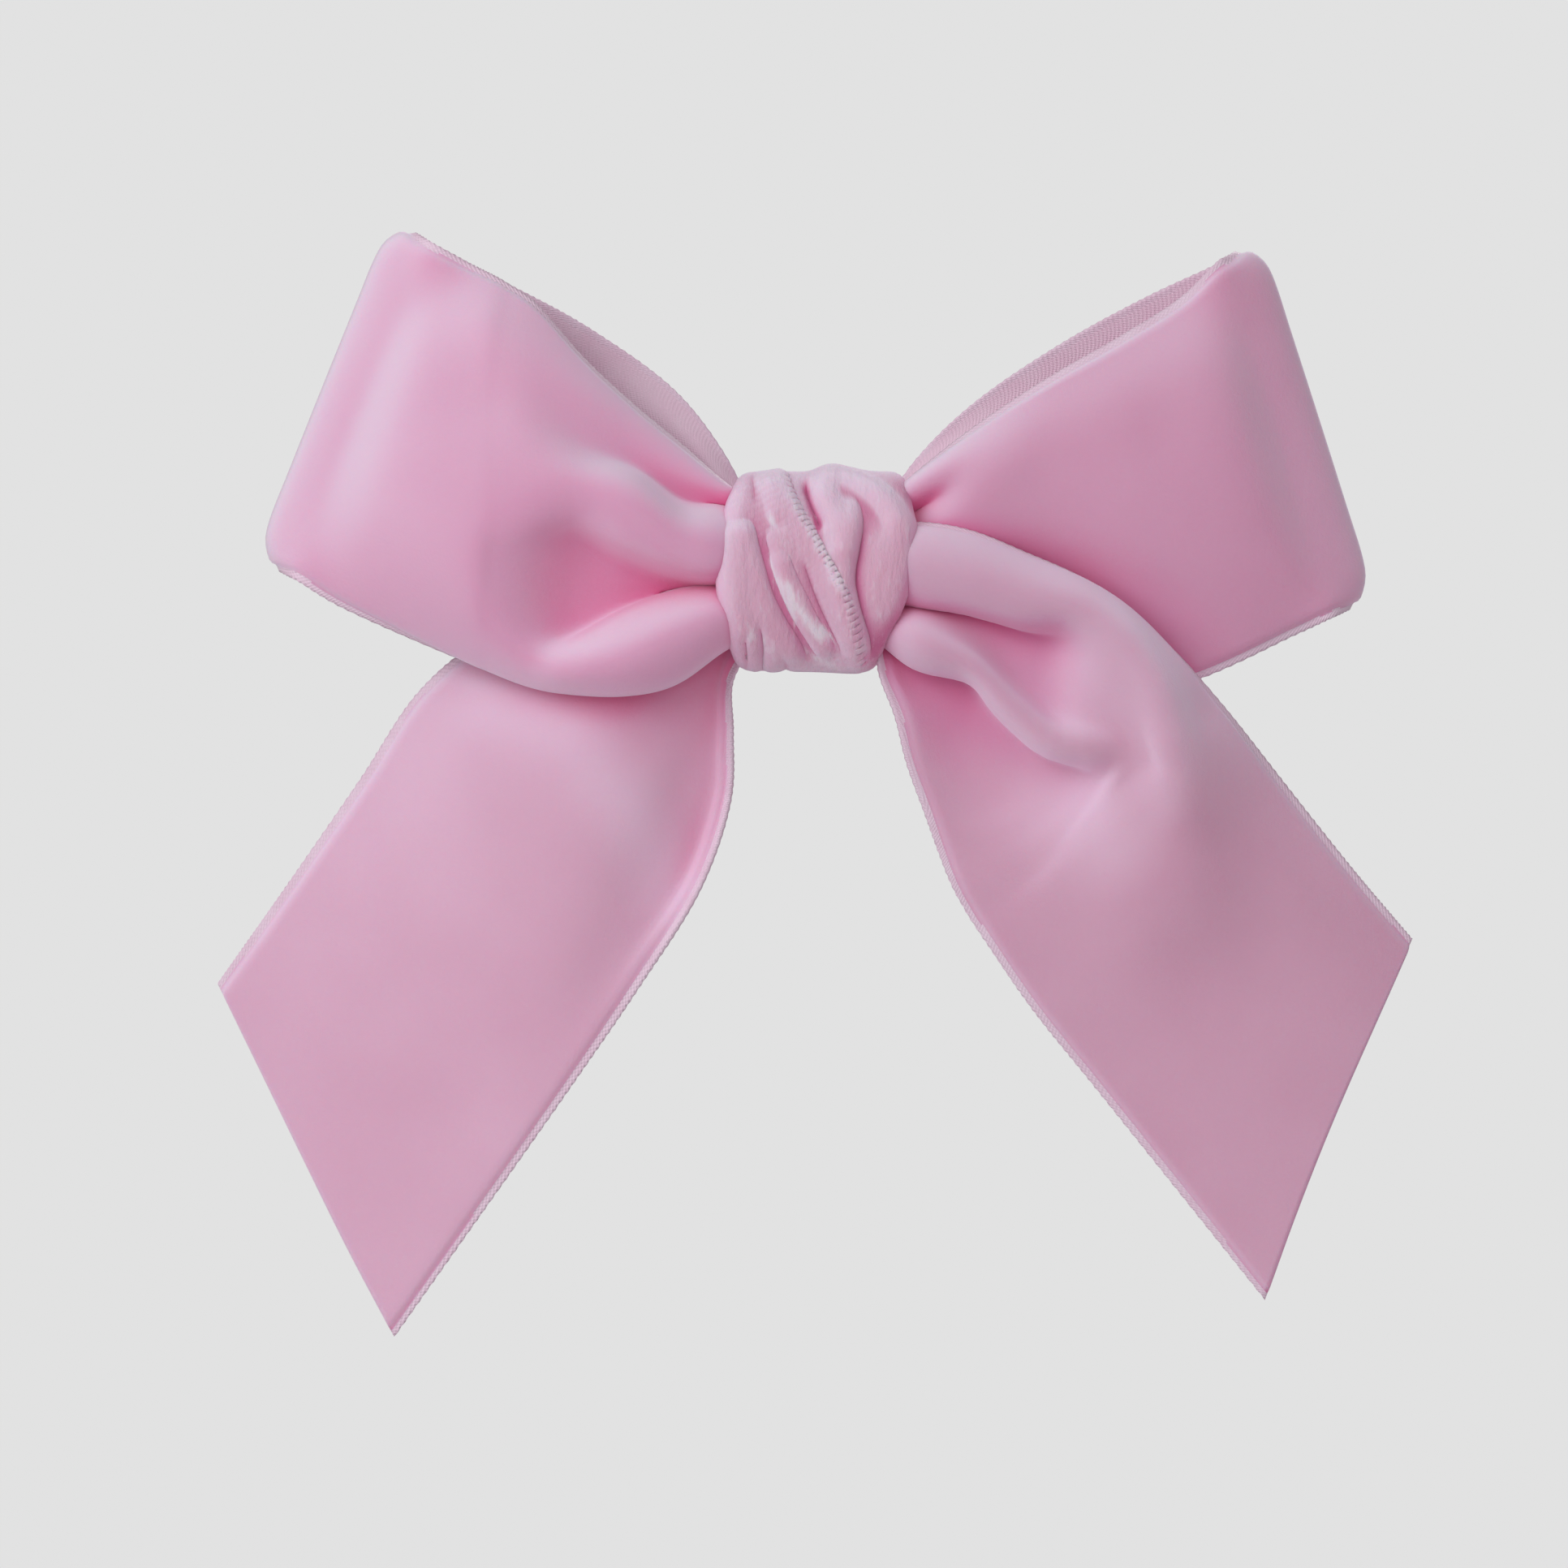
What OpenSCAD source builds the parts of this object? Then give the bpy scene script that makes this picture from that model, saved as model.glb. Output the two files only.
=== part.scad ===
// Bow barrette: a velvet-ribbon bow with two loops, two tails and a knot, bound to an
// automatic hair clip. The bow faces -Y, up is +Z, and the clip is behind it at +Y.
// The origin is the middle of the gap that holds the hair.

/* [Ribbon] */
// Width of the velvet ribbon; the whole bow grows with it
ribbon_w = 38; // [32:0.5:44]
// Thickness of the velvet ribbon
ribbon_t = 1.2; // [0.8:0.1:1.4]

/* [Bow] */
// How far a loop's front layer stands out on the left side
puff_left = 7.5; // [5:0.5:8.5]
// How far a loop's front layer stands out on the right side, under the tail
puff_right = 5; // [3:0.5:5.5]
// How far a loop's back layer stands out
puff_back = 4.2; // [3:0.2:4.4]
// Depth of the knot from front to back
knot_depth = 15.8; // [14:0.2:16]
// Height of the knot
knot_height = 23; // [21:0.5:25]

/* [Clip] */
// Length of the base plate
clip_length = 80; // [76:1:84]
// Width of the base plate
plate_w = 8; // [7.5:0.1:8.4]
// Thickness of the base plate
plate_t = 0.8; // [0.6:0.1:1]
// Radius of the plate's front face
plate_r = 140; // [130:5:160]
// Gap for the hair between the leaf and the arm
hair_gap = 6; // [5.5:0.1:6.5]
// Thickness of the sprung leaf
leaf_t = 0.4; // [0.3:0.05:0.5]
// Thickness of the clasp arm
arm_t = 0.8; // [0.6:0.1:0.9]
// Thickness of the lining on the plate
lining_t = 0.5; // [0.3:0.1:0.6]

/* [Hidden] */
$fn = 48;

velvet = [0.86, 0.66, 0.77];
velvet_shade = [0.79, 0.58, 0.70];
grosgrain = [0.90, 0.74, 0.82];
thread_pink = [0.93, 0.80, 0.87];
nickel = [0.80, 0.80, 0.82];
spring_steel = [0.66, 0.67, 0.70];

// ---- Clip layout, front to back ----
leaf_space = 1.8;                               // between the plate and the leaf, at the middle
leaf_y = -hair_gap / 2;                         // leaf's back face at x = 0
plate_y = leaf_y - leaf_t - leaf_space - plate_t; // plate's front face at x = 0
plate_c = plate_y + plate_r;                    // centre of the plate's curve
plate_in_r = plate_r - plate_t;                 // radius of the plate's back face
arm_y = hair_gap / 2;                           // arm's front face at x = 0
arm_r = 400;
arm_c = arm_y + arm_r;

// Rise of a circle of radius r above its lowest point, at a distance x from it
function sag(r, x) = r - sqrt(r * r - x * x);

leaf_half = 31;                                 // half the leaf's length
leaf_w = 4.4;
leaf_rise = sag(plate_in_r, leaf_half) - leaf_space;
leaf_r = (leaf_half * leaf_half + leaf_rise * leaf_rise) / (2 * leaf_rise);
rivet_x = leaf_half - 2;
rivet_r = 0.6;
rivet_head_r = 1.1;
rivet_head_t = 0.35;

end_x = clip_length / 2 - 3.5;                  // hinge axis and catch, from the middle
hinge_y = arm_y + sag(arm_r, end_x) + arm_t / 2;
hinge_pin_r = 0.8;
running = 0.05;                                 // radial clearance of what turns or slides
through = 20;                                   // cuts and trims reach past everything by this
reach = clip_length / 2 + 3;                    // further along x than any piece of the clip
eye_r = 1.6;                                    // rolled eye of the arm
eye_half = 2.9;
ear_in = 3;                                     // ears' inner faces, from z = 0
ear_t = 0.8;
ear_r = 2.3;
pin_head_r = 1.5;
pin_head_t = 0.5;

arm_w = 5;
arm_frame_w = 7.2;                              // the arm's wider end, round its window
arm_frame_l = 8;
arm_end = end_x + 3.7;
bead_w = 1.6;                                   // stiffening bead pressed along the arm
bead_t = 0.4;
bead_half = 27;
window_l = 4.8;
window_w = 5;
lip_r = 0.7;                                    // rolled lip that a finger lifts

post_l = 3;                                     // catch post, along x
post_half = 0.9;
tab_y = 0.45;                                   // underside of the squeeze tabs
cheek_l = 3.8;
cheek_in = 1.6;                                 // cheek's inner face, from z = 0
cheek_t = 0.6;
barb_z = window_w / 2 - 0.06;                   // barb ends just inside the arm's window
tab_foot_t = 0.6;
pad_in = 4.9;                                   // finger pad's inner face, from z = 0
pad_t = 0.6;
pad_r = 2.6;
barb_gap = 0.15;                                // from the arm's back face to the barb
barb_h = 1;
tip_w = 0.3;                                    // width of the cheek's tip, above its barb
catch_pin_r = 0.5;
catch_pin_y = 2.2;
catch_pin_half = 4.2;
arm_back = arm_y + sag(arm_r, end_x) + arm_t;   // arm's back face at the catch

lining_w = plate_w + 0.8;
sew_hole_r = 0.8;
sew_holes_x = [17, 23];                         // sewing holes, each side of the middle
thread_r = 0.22;
thread_turns = 4;
thread_pitch = 0.55;
thread_x = 5;                                   // first turn of each binding
thread_slack = 0.05;                            // between the thread and what it binds
thread_bend_r = 0.5;                            // radius of its corners

// ---- Bow layout ----
k = ribbon_w / 38;                              // the bow's outlines are drawn for 38 mm ribbon
knot_back = plate_y - lining_t - 0.2;
knot_y = knot_back - knot_depth / 2;
fold_y = -12;                                   // depth of the loops' outer folds
knot_half_gap = 3.2;                            // half a loop's depth where the knot grips it
core_half = 6.5;                                // half the length of the bunch inside the knot
core_inset = 2.8;                               // from the knot's outside to that bunch

// Loop edges seen from the front, [x, z], from the knot to the outer fold
LEFT_FRONT_TOP = [[-8.5, 8.8], [-17, 15], [-27.5, 24.3], [-36.5, 31.4], [-46.4, 36.6]];
LEFT_BACK_TOP = [[-8.5, 9.2], [-15, 18.8], [-24.5, 26.2], [-35, 32.4], [-46.4, 36.6]];
LEFT_FRONT_LOW = [[-8.5, -8.5], [-19, -14], [-32, -13], [-46, -7.2], [-60, 1.4]];
LEFT_BACK_LOW = [[-8.5, -7.5], [-19, -11], [-32, -10.8], [-46, -6], [-60, 1.4]];
RIGHT_FRONT_TOP = [[8.5, 8.8], [17.5, 15.6], [27.5, 22.3], [37.5, 28], [47.8, 33.5]];
RIGHT_BACK_TOP = [[8.5, 9.2], [16.5, 17.8], [26.5, 24.8], [37, 30.4], [47.8, 33.5]];
RIGHT_FRONT_LOW = [[8.5, -8.5], [20, -13], [33, -14.2], [46, -9.6], [59.6, -3]];
RIGHT_BACK_LOW = [[8.5, -7.5], [20, -10.5], [33, -11.8], [46, -8.4], [59.6, -3]];

// Tail edges, [x, y, z], from the knot to the slanted cut end
TAIL_LEFT_OUTER = [[-8, -9, 4], [-22, -6.2, -1], [-34, -5.2, -6], [-44, -5.6, -13.6],
                   [-54.5, -7.4, -29.4], [-66.1, -9.6, -45.8]];
TAIL_LEFT_INNER = [[-6, -9, -8], [-9.4, -9, -17], [-10.3, -9, -28.5], [-15, -9, -39.8],
                   [-28.5, -9.6, -58.1], [-46.9, -10.6, -84.8]];
TAIL_RIGHT_OUTER = [[8, -19, 4.5], [18, -21.5, 4], [30, -21, -1.3], [41, -18.5, -10.8],
                    [53, -15, -25.3], [65.6, -12, -40.6]];
TAIL_RIGHT_INNER = [[6, -18.5, -8.5], [9.4, -18, -18.5], [12.5, -17, -29.5], [19, -15.5, -41.8],
                    [33, -13.5, -60], [49.5, -11.5, -80.5]];
tail_belly = 1.5;                               // how far a tail's middle stands out

// ---- Functions ----
// Point of a smooth curve through pts, u from 0 at the first point to 1 at the last
function on_curve(pts, u) =
    let (spans = len(pts) - 1,
         i = max(0, min(floor(u * spans), spans - 1)),
         f = u * spans - i,
         a = pts[max(i - 1, 0)],
         b = pts[i],
         c = pts[i + 1],
         d = pts[min(i + 2, spans)])
    (2 * b + (c - a) * f + (2 * a - 5 * b + 4 * c - d) * f * f
     + (3 * b - a - 3 * c + d) * f * f * f) / 2;

function mix(a, b, f) = a + (b - a) * f;
function crown(s) = 4 * s * (1 - s);            // 0 at both edges, 1 in the middle
function ease(f) = let (g = max(0, min(1, f))) g * g * (3 - 2 * g);

// Point of a loop's layer: t from the knot to the fold, s from the top edge to the lower one.
// The depth follows an ellipse, so the two layers meet in a round fold.
function loop_point(top, low, puff, bow, t, s) =
    let (u = sin(90 * t),
         edge = mix(on_curve(top, u), on_curve(low, u), s),
         middle_y = mix(knot_y, fold_y, u),
         full = mix(knot_half_gap, abs(puff), ease(u / 0.35)),
         depth = sign(puff) * full * cos(90 * t) * mix(0.6, 1, crown(s)))
    [k * (edge[0] + bow * crown(s) * u * u), middle_y - depth, k * edge[1]];

// Point of a tail: t from the knot to the cut end, s from the outer edge to the inner one
function tail_point(outer, inner, t, s) =
    let (p = mix(on_curve(outer, t), on_curve(inner, t), s))
    [k * p[0], p[1] - tail_belly * crown(s) * ease(3 * t), k * p[2]];

// Point of the knot's turn of ribbon: t round the knot from its back, s from left to right
function knot_point(t, s) =
    let (a = 360 * t - 180,
         up = sin(a),
         left = -10.6 + 1.4 * up * up,
         right = 10.6 - 2.3 * up * up + 1.4 * up,
         barrel = 1 - 0.1 * pow(2 * s - 1, 2),
         skin = ribbon_t / 2)
    [mix(left, right, s), knot_y - (knot_depth / 2 - skin) * barrel * cos(a),
     (knot_height / 2 - skin) * barrel * up];

function unit(v) = v / norm(v);

// Surface normal of f(t, s)
function normal(f, t, s) =
    let (e = 0.002)
    unit(cross(f(t + e, s) - f(t - e, s), f(t, s + e) - f(t, s - e)));

// ---- Helpers ----
// Solid of an even thickness whose middle surface is f(t, s), in rows along t and columns along s
module sheet(f, rows, cols, thick = ribbon_t) {
    across = cols + 1;
    side = (rows + 1) * across;
    faces_of = [for (sgn = [1, -1], i = [0 : rows], j = [0 : cols])
                f(i / rows, j / cols) + sgn * thick / 2 * normal(f, i / rows, j / cols)];
    front = [for (i = [0 : rows - 1], j = [0 : cols - 1])
             let (p = i * across + j)
             each [[p, p + 1, p + across + 1], [p, p + across + 1, p + across]]];
    back = [for (tri = front) [tri[2] + side, tri[1] + side, tri[0] + side]];
    border = concat([for (j = [0 : cols - 1]) j],
                    [for (i = [0 : rows - 1]) i * across + cols],
                    [for (j = [cols : -1 : 1]) rows * across + j],
                    [for (i = [rows : -1 : 1]) i * across]);
    count = len(border);
    rim = [for (n = [0 : count - 1])
           let (p = border[n], q = border[(n + 1) % count])
           each [[q, p, p + side], [q, p + side, q + side]]];
    polyhedron(points = faces_of, faces = concat(front, back, rim));
}

// Extrudes an outline drawn in x and z along y
module slab(low_y, high_y)
    translate([0, high_y, 0])
        rotate([90, 0, 0])
            linear_extrude(high_y - low_y)
                children();

// Outline with round ends
module stadium(length, width) {
    square([length - width, width], center = true);
    for (side = [-1, 1])
        translate([side * (length - width) / 2, 0])
            circle(d = width);
}

// Curved strip whose front face has radius r and lies at front_y at x = 0
module arc_strip(front_y, r, thick, width, half) {
    angle = 2 * asin(half / r);
    translate([0, front_y + r, 0])
        rotate([0, 0, -90 - angle / 2])
            rotate_extrude(angle = angle, $fn = 360)
                translate([r - thick, -width / 2])
                    square([thick, width]);
}

// Curved sheet cut to the outline that its children draw in x and z
module curved_sheet(front_y, r, thick)
    intersection() {
        arc_strip(front_y, r, thick, 2 * plate_w, reach);
        slab(-through, through)
            children();
    }

// Keeps only what lies behind the plate's curve of radius r
module behind_plate(r)
    intersection() {
        children();
        translate([0, plate_c, 0])
            cylinder(r = r, h = 3 * plate_w, center = true, $fn = 360);
    }

// Cylinder along y from low_y to high_y
module rod_y(x, z, r, low_y, high_y)
    translate([x, high_y, z])
        rotate([90, 0, 0])
            cylinder(r = r, h = high_y - low_y);

// Cylinder along z, centred on z = 0
module rod_z(x, y, r, length)
    translate([x, y, 0])
        cylinder(r = r, h = length, center = true);

// ---- Bow ----
module loop_left_front()
    color(velvet)
        sheet(function (t, s) loop_point(LEFT_FRONT_TOP, LEFT_FRONT_LOW, puff_left, -1.3, t, s), 22, 8);

module loop_left_back()
    color(velvet_shade)
        sheet(function (t, s) loop_point(LEFT_BACK_TOP, LEFT_BACK_LOW, -puff_back, -1.3, t, s), 22, 8);

module loop_right_front()
    color(velvet)
        sheet(function (t, s) loop_point(RIGHT_FRONT_TOP, RIGHT_FRONT_LOW, puff_right, 1, t, s), 22, 8);

module loop_right_back()
    color(velvet_shade)
        sheet(function (t, s) loop_point(RIGHT_BACK_TOP, RIGHT_BACK_LOW, -puff_back, 1, t, s), 22, 8);

module tail_left()
    color(velvet)
        sheet(function (t, s) tail_point(TAIL_LEFT_OUTER, TAIL_LEFT_INNER, t, s), 26, 8);

module tail_right()
    color(velvet)
        sheet(function (t, s) tail_point(TAIL_RIGHT_OUTER, TAIL_RIGHT_INNER, t, s), 26, 8);

module knot_wrap()
    color(velvet)
        sheet(function (t, s) knot_point(mix(0.01, 0.99, t), s), 36, 8);

// The bunched ribbon inside the knot
module knot_core()
    color(velvet_shade)
        translate([0, knot_y, 0])
            rotate([0, 90, 0])
                linear_extrude(2 * core_half, center = true)
                    stadium(knot_height - 2 * core_inset, knot_depth - 2 * core_inset);

// ---- Clip ----
module lining_strip()
    color(grosgrain)
        curved_sheet(plate_y - lining_t, plate_r + lining_t, lining_t)
            stadium(clip_length - 3, lining_w);

// One turn of thread round the plate and its lining, a rectangle with round corners
module thread_turn(x) {
    bend = thread_bend_r;
    front = plate_y + sag(plate_r, x) - lining_t - thread_r + bend;
    back = plate_y + sag(plate_r, x) + plate_t + thread_r + thread_slack - bend;
    high = lining_w / 2 + thread_r + thread_slack - bend;
    for (y = [front - bend, back + bend])
        translate([x, y, 0])
            cylinder(r = thread_r, h = 2 * high, center = true, $fn = 16);
    for (side = [-1, 1])
        rod_y(x, side * (high + bend), thread_r, front, back, $fn = 16);
    corners = [[back, high], [back, -high], [front, -high], [front, high]];
    for (n = [0 : 3])
        translate([x, corners[n][0], corners[n][1]])
            rotate([0, -90, 0])
                rotate([0, 0, 90 * n])
                    rotate_extrude(angle = 90, $fn = 32)
                        translate([bend, 0])
                            circle(r = thread_r, $fn = 16);
}

module thread_binding()
    color(thread_pink)
        for (side = [-1, 1], n = [0 : thread_turns - 1])
            thread_turn(side * (thread_x + n * thread_pitch));

module ear(side)
    behind_plate(plate_r - plate_t / 2)
        translate([0, 0, side * (ear_in + ear_t / 2)])
            linear_extrude(ear_t, center = true) {
                translate([-end_x, hinge_y])
                    circle(r = ear_r);
                translate([-end_x - ear_r, plate_y])
                    square([2 * ear_r, hinge_y - plate_y]);
            }

module clip_plate()
    color(nickel)
        difference() {
            union() {
                curved_sheet(plate_y, plate_r, plate_t)
                    stadium(clip_length, plate_w);
                for (side = [-1, 1])
                    ear(side);
            }
            rod_z(-end_x, hinge_y, hinge_pin_r, through);
            for (side = [-1, 1]) {
                rod_y(side * rivet_x, 0, rivet_r, -through, through);
                for (x = sew_holes_x)
                    rod_y(side * x, 0, sew_hole_r, -through, through);
            }
        }

module hinge_pin()
    color(spring_steel) {
        rod_z(-end_x, hinge_y, hinge_pin_r, 2 * (ear_in + ear_t));
        for (side = [-1, 1])
            translate([-end_x, hinge_y, side * (ear_in + ear_t + pin_head_t / 2)])
                cylinder(r = pin_head_r, h = pin_head_t, center = true);
    }

module tension_leaf()
    color(spring_steel)
        difference() {
            curved_sheet(leaf_y - leaf_t, leaf_r, leaf_t)
                stadium(2 * leaf_half, leaf_w);
            for (side = [-1, 1])
                rod_y(side * rivet_x, 0, rivet_r, -through, through);
        }

module leaf_rivets()
    color(nickel)
        for (side = [-1, 1]) {
            head_y = leaf_y + sag(leaf_r - leaf_t, rivet_x + rivet_head_r);
            foot_y = plate_y + sag(plate_r, rivet_x + rivet_r);
            rod_y(side * rivet_x, 0, rivet_r, foot_y, head_y + rivet_head_t);
            rod_y(side * rivet_x, 0, rivet_head_r, head_y, head_y + rivet_head_t);
        }

// Fixed post between the squeeze tabs
module catch_head()
    color(nickel)
        behind_plate(plate_in_r)
            difference() {
                linear_extrude(2 * post_half, center = true) {
                    translate([end_x, arm_back - post_l / 2])
                        circle(d = post_l);
                    translate([end_x - post_l / 2, plate_y])
                        square([post_l, arm_back - post_l / 2 - plate_y]);
                }
                rod_z(end_x, catch_pin_y, catch_pin_r, through);
            }

module catch_pin()
    color(spring_steel)
        rod_z(end_x, catch_pin_y, catch_pin_r, 2 * catch_pin_half);

// Squeeze tab on the upper side: a barbed cheek, its foot and a round finger pad
module squeeze_tab() {
    barb_y = arm_back + barb_gap;
    tip_y = barb_y + barb_h;
    difference() {
        union() {
            translate([end_x - cheek_l / 2, 0, 0])
                rotate([90, 0, 90])
                    linear_extrude(cheek_l)
                        polygon([[tab_y, cheek_in], [tip_y, cheek_in], [tip_y, cheek_in + tip_w],
                                 [barb_y, barb_z], [barb_y, cheek_in + cheek_t],
                                 [tab_y, cheek_in + cheek_t]]);
            translate([end_x - cheek_l / 2, tab_y, cheek_in])
                cube([cheek_l, tab_foot_t, pad_in + pad_t - cheek_in]);
            translate([end_x, tab_y + pad_r, pad_in])
                cylinder(r = pad_r, h = pad_t);
        }
        rod_z(end_x, catch_pin_y, catch_pin_r + running, 2 * catch_pin_half);
    }
}

module catch_tab_upper()
    color(nickel)
        squeeze_tab();

module catch_tab_lower()
    color(nickel)
        mirror([0, 0, 1])
            squeeze_tab();

// Strip with a wider end whose corners are round, seen from the front
module arm_outline() {
    corner_r = 1;
    translate([-end_x, -arm_w / 2])
        square([end_x + arm_end - corner_r, arm_w]);
    translate([arm_end - arm_frame_l / 2, 0]) {
        square([arm_frame_l - 2 * corner_r, arm_frame_w], center = true);
        square([arm_frame_l, arm_frame_w - 2 * corner_r], center = true);
        for (side_x = [-1, 1], side_z = [-1, 1])
            translate([side_x * (arm_frame_l / 2 - corner_r), side_z * (arm_frame_w / 2 - corner_r)])
                circle(r = corner_r);
    }
}

module clasp_arm()
    color(nickel)
        difference() {
            union() {
                curved_sheet(arm_y, arm_r, arm_t)
                    arm_outline();
                arc_strip(arm_y + arm_t - 0.1, arm_r - arm_t + 0.1, bead_t + 0.1, bead_w, bead_half);
                rod_z(-end_x, hinge_y, eye_r, 2 * eye_half);
                rod_z(arm_end - lip_r / 2, arm_y + sag(arm_r, arm_end) + arm_t, lip_r, arm_frame_w - 3);
            }
            rod_z(-end_x, hinge_y, hinge_pin_r + running, through);
            slab(-through, through)
                translate([end_x, 0])
                    square([window_l, window_w], center = true);
        }

loop_left_front();
loop_left_back();
loop_right_front();
loop_right_back();
tail_left();
tail_right();
knot_wrap();
knot_core();
lining_strip();
thread_binding();
clip_plate();
hinge_pin();
tension_leaf();
leaf_rivets();
catch_head();
catch_pin();
clasp_arm();
catch_tab_upper();
catch_tab_lower();
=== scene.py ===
import math

import bpy
import numpy as np
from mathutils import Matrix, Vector


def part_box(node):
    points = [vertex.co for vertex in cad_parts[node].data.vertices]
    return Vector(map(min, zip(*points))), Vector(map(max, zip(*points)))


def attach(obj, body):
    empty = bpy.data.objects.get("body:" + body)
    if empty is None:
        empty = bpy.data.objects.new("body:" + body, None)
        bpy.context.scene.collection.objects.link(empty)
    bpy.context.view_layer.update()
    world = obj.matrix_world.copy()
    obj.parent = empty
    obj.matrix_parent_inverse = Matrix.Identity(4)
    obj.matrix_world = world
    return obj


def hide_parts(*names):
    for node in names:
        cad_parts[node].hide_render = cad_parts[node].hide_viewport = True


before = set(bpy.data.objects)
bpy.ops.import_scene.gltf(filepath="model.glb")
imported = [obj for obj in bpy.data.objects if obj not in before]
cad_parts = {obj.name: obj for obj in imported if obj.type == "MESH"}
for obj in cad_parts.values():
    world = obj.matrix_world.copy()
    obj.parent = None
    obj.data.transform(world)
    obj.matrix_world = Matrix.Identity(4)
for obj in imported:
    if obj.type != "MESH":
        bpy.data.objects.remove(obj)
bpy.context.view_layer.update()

# Shapes are written in millimetres, as (x, y, z): x to the right, y away from the viewer, z up.
MM = 0.001
RIBBON_WIDTH = 38.0
PILE = 0.75           # velvet pile over the ribbon's middle surface
BACKING = 0.22        # woven ground under it
SELVEDGE = 0.7        # woven edge without pile
SELVEDGE_PILE = 0.24  # its height over the middle surface
PILE_START = 0.7      # the pile grows to its full height over this, beside the selvedge
PICOT = 0.1           # how far the selvedge's small loops stand out
ROW_GAP = 0.5         # mesh rows along the ribbon, half a picot apart
FOLD_Y = -12.0        # depth of the loops' outer folds, as in the CAD model
TOOTH_PITCH = 0.68    # pitch of the selvedge loops where they show on the knot

# ---------------------------------------------------------------- curves and sheets

SPAN_STEPS = 24       # straight steps that a curve takes between two of its points


def smooth_curve(points, positions):
    """Samples a centripetal Catmull-Rom curve at positions, from 0 to 1 of its length.
    A point may itself be a whole row of points, which gives a surface."""
    p = np.asarray(points, float)
    ends = np.concatenate([[2 * p[0] - p[1]], p, [2 * p[-1] - p[-2]]])

    def gap(a, b):
        return max(np.linalg.norm(a - b, axis=-1).mean(), 1e-6) ** 0.5

    f = np.linspace(0, 1, SPAN_STEPS, endpoint=False).reshape((-1,) + (1,) * (p.ndim - 1))
    pieces = []
    for a, b, c, d in zip(ends, ends[1:], ends[2:], ends[3:]):
        ab, bc, cd = gap(a, b), gap(b, c), gap(c, d)
        start = c - b + bc * ((b - a) / ab - (c - a) / (ab + bc))
        stop = c - b + bc * ((d - c) / cd - (d - b) / (bc + cd))
        cubic = 2 * (b - c) + start + stop
        square = -3 * (b - c) - 2 * start - stop
        pieces.append(((cubic * f + square) * f + start) * f + b)
    dense = np.concatenate(pieces + [p[-1:]])
    steps = np.linalg.norm(np.diff(dense, axis=0), axis=-1).reshape(len(dense) - 1, -1).mean(1)
    along = np.concatenate([[0], np.cumsum(steps)])
    want = np.asarray(positions, float) * along[-1]
    low = np.clip(np.searchsorted(along, want) - 1, 0, len(along) - 2)
    share = (want - along[low]) / (along[low + 1] - along[low])
    share = share.reshape((-1,) + (1,) * (p.ndim - 1))
    return dense[low] * (1 - share) + dense[low + 1] * share


def curve_length(points):
    """Length of a smooth curve through points, or the mean length of a smooth surface's lines."""
    line = smooth_curve(points, np.linspace(0, 1, 200))
    steps = np.linalg.norm(np.diff(line, axis=0), axis=-1)
    return steps.reshape(len(steps), -1).mean(1).sum()


def ease(f):
    """0 below 0, 1 above 1 and a smooth step between."""
    f = np.clip(f, 0, 1)
    return f * f * (3 - 2 * f)


def column_positions():
    """Places of the mesh columns across the ribbon, from 0 to 1: close together at the selvedges."""
    edge = [0, 0.3, SELVEDGE - 0.1, SELVEDGE, 1, 1.4]
    middle = np.linspace(2, RIBBON_WIDTH / 2, 25)
    half = np.concatenate([edge, middle])
    return np.concatenate([half, (RIBBON_WIDTH - half[:-1])[::-1]]) / RIBBON_WIDTH


def relax(grid, passes):
    """Evens out a grid of points or values, and keeps its border as it is."""
    for _ in range(passes):
        inner = (grid[:-2, 1:-1] + grid[2:, 1:-1] + grid[1:-1, :-2] + grid[1:-1, 2:]) / 4
        grid[1:-1, 1:-1] = (grid[1:-1, 1:-1] + inner) / 2
    return grid


def ribbon_grid(stations, passes=3):
    """Rows of points along the ribbon from stations, the lines across it from edge to edge."""
    columns = column_positions()
    lines = [smooth_curve(station, columns) for station in stations]
    rows = int(round(curve_length(lines) / ROW_GAP))
    return relax(smooth_curve(lines, np.linspace(0, 1, rows + 1)), passes)


def across_folds(features, rows=22):
    """Lines across the ribbon from its features: lines along it, such as crests and creases, whose
    points match. The lines across then carry each feature smoothly along the ribbon."""
    net = np.array(features, float).transpose(1, 0, 2)
    return list(smooth_curve(net, np.linspace(0, 1, rows)))


def unit(v):
    return v / np.maximum(np.linalg.norm(v, axis=-1, keepdims=True), 1e-9)


def grid_normals(grid):
    return unit(np.cross(np.gradient(grid, axis=0), np.gradient(grid, axis=1)))


def add_piece(name, points, faces, materials, smooth=True):
    """An object in the scene, from points in millimetres and faces."""
    mesh = bpy.data.meshes.new(name)
    mesh.from_pydata((np.asarray(points) * MM).tolist(), [], np.asarray(faces).tolist())
    for material in materials:
        mesh.materials.append(material)
    mesh.polygons.foreach_set("use_smooth", np.full(len(mesh.polygons), smooth))
    piece = bpy.data.objects.new(name, mesh)
    bpy.context.scene.collection.objects.link(piece)
    return piece


def store_mark(mesh, name, kind, values):
    """Keeps values for a material on the mesh's points, the same on the ribbon's front and back."""
    field = {"FLOAT": "value", "FLOAT_VECTOR": "vector"}[kind]
    both_sides = np.concatenate([values, values]).astype(np.float32)
    mesh.attributes.new(name, kind, "POINT").data.foreach_set(field, both_sides.ravel())


def run_length(grid, axis):
    """Length run along one axis of a grid of points, up to each point."""
    run = np.cumsum(np.linalg.norm(np.diff(grid, axis=axis), axis=-1), axis=axis)
    return np.pad(run, [(1, 0) if n == axis else (0, 0) for n in range(2)])


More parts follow.
